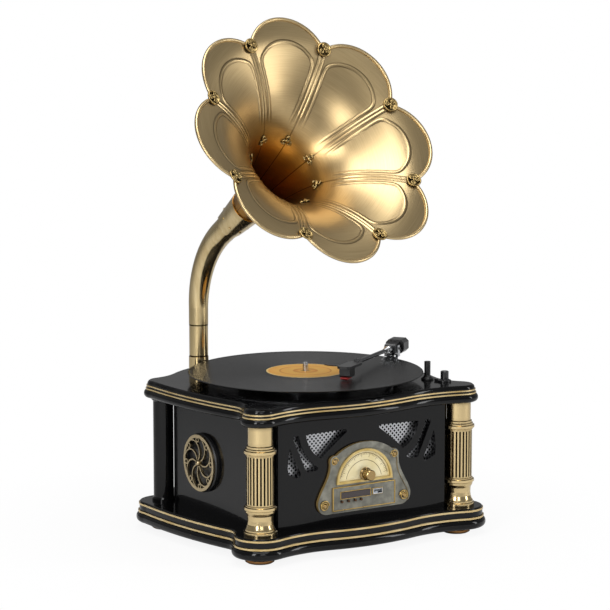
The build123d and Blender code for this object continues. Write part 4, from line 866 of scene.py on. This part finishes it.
def plain(name, low, high, metallic, rough, grain_mm, relief, **sockets):
    """A finish whose colour and roughness vary between two values over grains of a given size."""
    material, tree, shader = finish(name, high, metallic, rough, **sockets)
    where = add(tree, "ShaderNodeTexCoord").outputs["Object"]
    grain = add(tree, "ShaderNodeTexNoise", Vector=where, Scale=1000.0 / grain_mm, Detail=4.0)
    tone = ramp(tree, grain.outputs["Fac"], [(0.3, low), (0.7, high)])
    tree.links.new(tone.outputs["Color"], shader.inputs["Base Color"])
    gloss = add(tree, "ShaderNodeMapRange", Value=grain.outputs["Fac"], To_Min=rough * 0.8,
                To_Max=rough * 1.25)
    tree.links.new(gloss.outputs["Result"], shader.inputs["Roughness"])
    bump = add(tree, "ShaderNodeBump", Height=grain.outputs["Fac"], Strength=relief, Distance=0.0003)
    tree.links.new(bump.outputs["Normal"], shader.inputs["Normal"])
    return material


chrome = plain("chrome_plate", "#cfd2d6", "#e6e8ea", 1.0, 0.07, 20.0, 0.01)
dress(chrome, "arm_yoke", "arm_collar", "line_out_jacks", "usb_socket")
satin_tube = plain("anodised_aluminium_satin", "#b4b6ba", "#d0d2d5", 1.0, 0.24, 3.0, 0.05)
dress(satin_tube, "platter", "motor_pulley")
dark_tube = plain("anodised_aluminium_graphite", "#3c3d40", "#56585c", 1.0, 0.18, 3.0, 0.04)
dress(dark_tube, "arm_tube")
black_metal = plain("satin_black_painted_metal", "#0c0c0d", "#17171a", 0.0, 0.32, 1.2, 0.12, Coat_Weight=0.3)
dress(black_metal, "arm_block", "counterweight", "headshell", "arm_pedestal", "speed_knob")
abs_black = plain("moulded_abs_black", "#0a0a0b", "#151516", 0.0, 0.42, 0.6, 0.15)
dress(abs_black, "cartridge", "arm_rest", "medallion_bezels", "speakers", "power_inlet", "switch_frame",
      "power_switch", "horn_driver")
rubber = plain("moulded_rubber", "#0d0d0d", "#191919", 0.0, 0.75, 0.8, 0.3)
dress(rubber, "platter_mat", "drive_belt")
steel = plain("plain_steel", "#85878a", "#a2a4a7", 1.0, 0.35, 4.0, 0.08)
dress(steel, "spindle_bearing", "motor")
circuit = plain("circuit_board_laminate", "#0f3d22", "#1c5a35", 0.0, 0.45, 3.0, 0.1)
dress(circuit, "radio_board")
red_abs = plain("moulded_abs_red", "#8d1210", "#c0201a", 0.0, 0.3, 2.0, 0.05, Coat_Weight=0.3)
dress(red_abs, "stylus")

# %% [markdown]
# ## Studio
# A plain white floor that fades into a white surround. Only the camera sees white there:
# metal mirrors a softer grey, and the floor keeps a soft shadow. Large soft lamps stand left,
# right, above and in front, so that round brass shows a bright streak between darker edges.

# %% Floor and surround


def flat_panel(name, corners):
    mesh = bpy.data.meshes.new(name)
    mesh.from_pydata([tuple(c) for c in corners], [], [(0, 1, 2, 3)])
    panel = bpy.data.objects.new(name, mesh)
    bpy.context.scene.collection.objects.link(panel)
    return panel


FLOOR_HALF, FLOOR_Z = 6.0, -0.0002
floor = flat_panel("floor", [(x * FLOOR_HALF, y * FLOOR_HALF, FLOOR_Z) for x, y in
                             ((-1, -1), (1, -1), (1, 1), (-1, 1))])
paper = bpy.data.materials.new("white_paper_sweep")
paper.use_nodes = True
tree = paper.node_tree
tree.nodes.clear()
diffuse = add(tree, "ShaderNodeBsdfDiffuse", Color=colour("#f2f2f2"))
glow = add(tree, "ShaderNodeEmission", Color=(1.0, 1.0, 1.0, 1.0), Strength=1.0)
ray = add(tree, "ShaderNodeLightPath")
where = add(tree, "ShaderNodeTexCoord").outputs["Object"]
from_middle = add(tree, "ShaderNodeVectorMath", {"operation": "LENGTH"}, i0=where)
far = add(tree, "ShaderNodeMapRange", Value=from_middle.outputs["Value"], From_Min=0.2, From_Max=0.5,
          To_Min=0.9, To_Max=1.0)
seen = add(tree, "ShaderNodeMath", {"operation": "MULTIPLY"}, i0=ray.outputs["Is Camera Ray"],
           i1=far.outputs["Result"])
floor_mix = add(tree, "ShaderNodeMixShader", i0=seen.outputs["Value"], i1=diffuse.outputs["BSDF"],
                i2=glow.outputs["Emission"])
add(tree, "ShaderNodeOutputMaterial", Surface=floor_mix.outputs["Shader"])
floor.data.materials.append(paper)

world = bpy.data.worlds.new("white_surround")
bpy.context.scene.world = world
world.use_nodes = True
tree = world.node_tree
tree.nodes.clear()
ray = add(tree, "ShaderNodeLightPath")
around_world = add(tree, "ShaderNodeBackground", Color=(0.9, 0.9, 0.9, 1.0), Strength=0.3)
white = add(tree, "ShaderNodeBackground", Color=(1.0, 1.0, 1.0, 1.0), Strength=1.0)
world_mix = add(tree, "ShaderNodeMixShader", i0=ray.outputs["Is Camera Ray"],
                i1=around_world.outputs["Background"], i2=white.outputs["Background"])
add(tree, "ShaderNodeOutputWorld", Surface=world_mix.outputs["Shader"])

# %% Lamps


def softbox(name, position, target, width, height, power):
    """An area lamp at a position in metres, facing a target."""
    data = bpy.data.lights.new(name, "AREA")
    data.shape = "RECTANGLE"
    data.size, data.size_y = width, height
    data.energy = power
    lamp = bpy.data.objects.new(name, data)
    lamp.location = position
    run = np.array(target, float) - np.array(position, float)
    lamp.rotation_mode = "QUATERNION"
    lamp.rotation_quaternion = Vector(run).to_track_quat("-Z", "Y")
    bpy.context.scene.collection.objects.link(lamp)
    return lamp


AIM_AT = (0.0, 0.0, 0.33)
softbox("top_softbox", (-0.2, -0.3, 1.7), AIM_AT, 1.1, 0.9, 16.0)
softbox("left_softbox", (-1.5, -0.9, 0.9), AIM_AT, 0.36, 1.3, 15.0)
softbox("right_softbox", (1.3, -1.3, 0.7), AIM_AT, 0.3, 1.2, 9.0)
softbox("front_fill", (-1.0, -2.2, 1.3), AIM_AT, 0.8, 0.6, 10.0)
print("lamps", [lamp.name for lamp in bpy.data.lights])

# %% [markdown]
# ## Camera
# The viewpoint was worked out from the photograph: 33.5 degrees to the left of the front and
# 8.7 degrees above level, more than 3.5 m away with a long lens.

# %% Camera
azimuth, elevation = math.radians(-33.49), math.radians(8.68)
CAMERA_AT = place([-1973.6, -3003.9, 836.2])
FOCAL_PIXELS, PHOTO_PIXELS, SENSOR_MM = 2838.4, 610, 36.0
camera_data = bpy.data.cameras.new("camera")
camera = bpy.data.objects.new("camera", camera_data)
bpy.context.scene.collection.objects.link(camera)
level = math.cos(elevation)
back = np.array([math.sin(azimuth) * level, -math.cos(azimuth) * level, math.sin(elevation)])
right = np.array([math.cos(azimuth), math.sin(azimuth), 0.0])
above = np.cross(back, right)
camera.matrix_world = Matrix([*np.stack([right, above, back, CAMERA_AT], -1).tolist(), [0, 0, 0, 1]])
camera_data.sensor_width = SENSOR_MM
camera_data.lens = SENSOR_MM * FOCAL_PIXELS / PHOTO_PIXELS
camera_data.clip_start, camera_data.clip_end = 0.1, 60.0
bpy.context.scene.camera = camera
bpy.context.scene.view_settings.view_transform = "Standard"
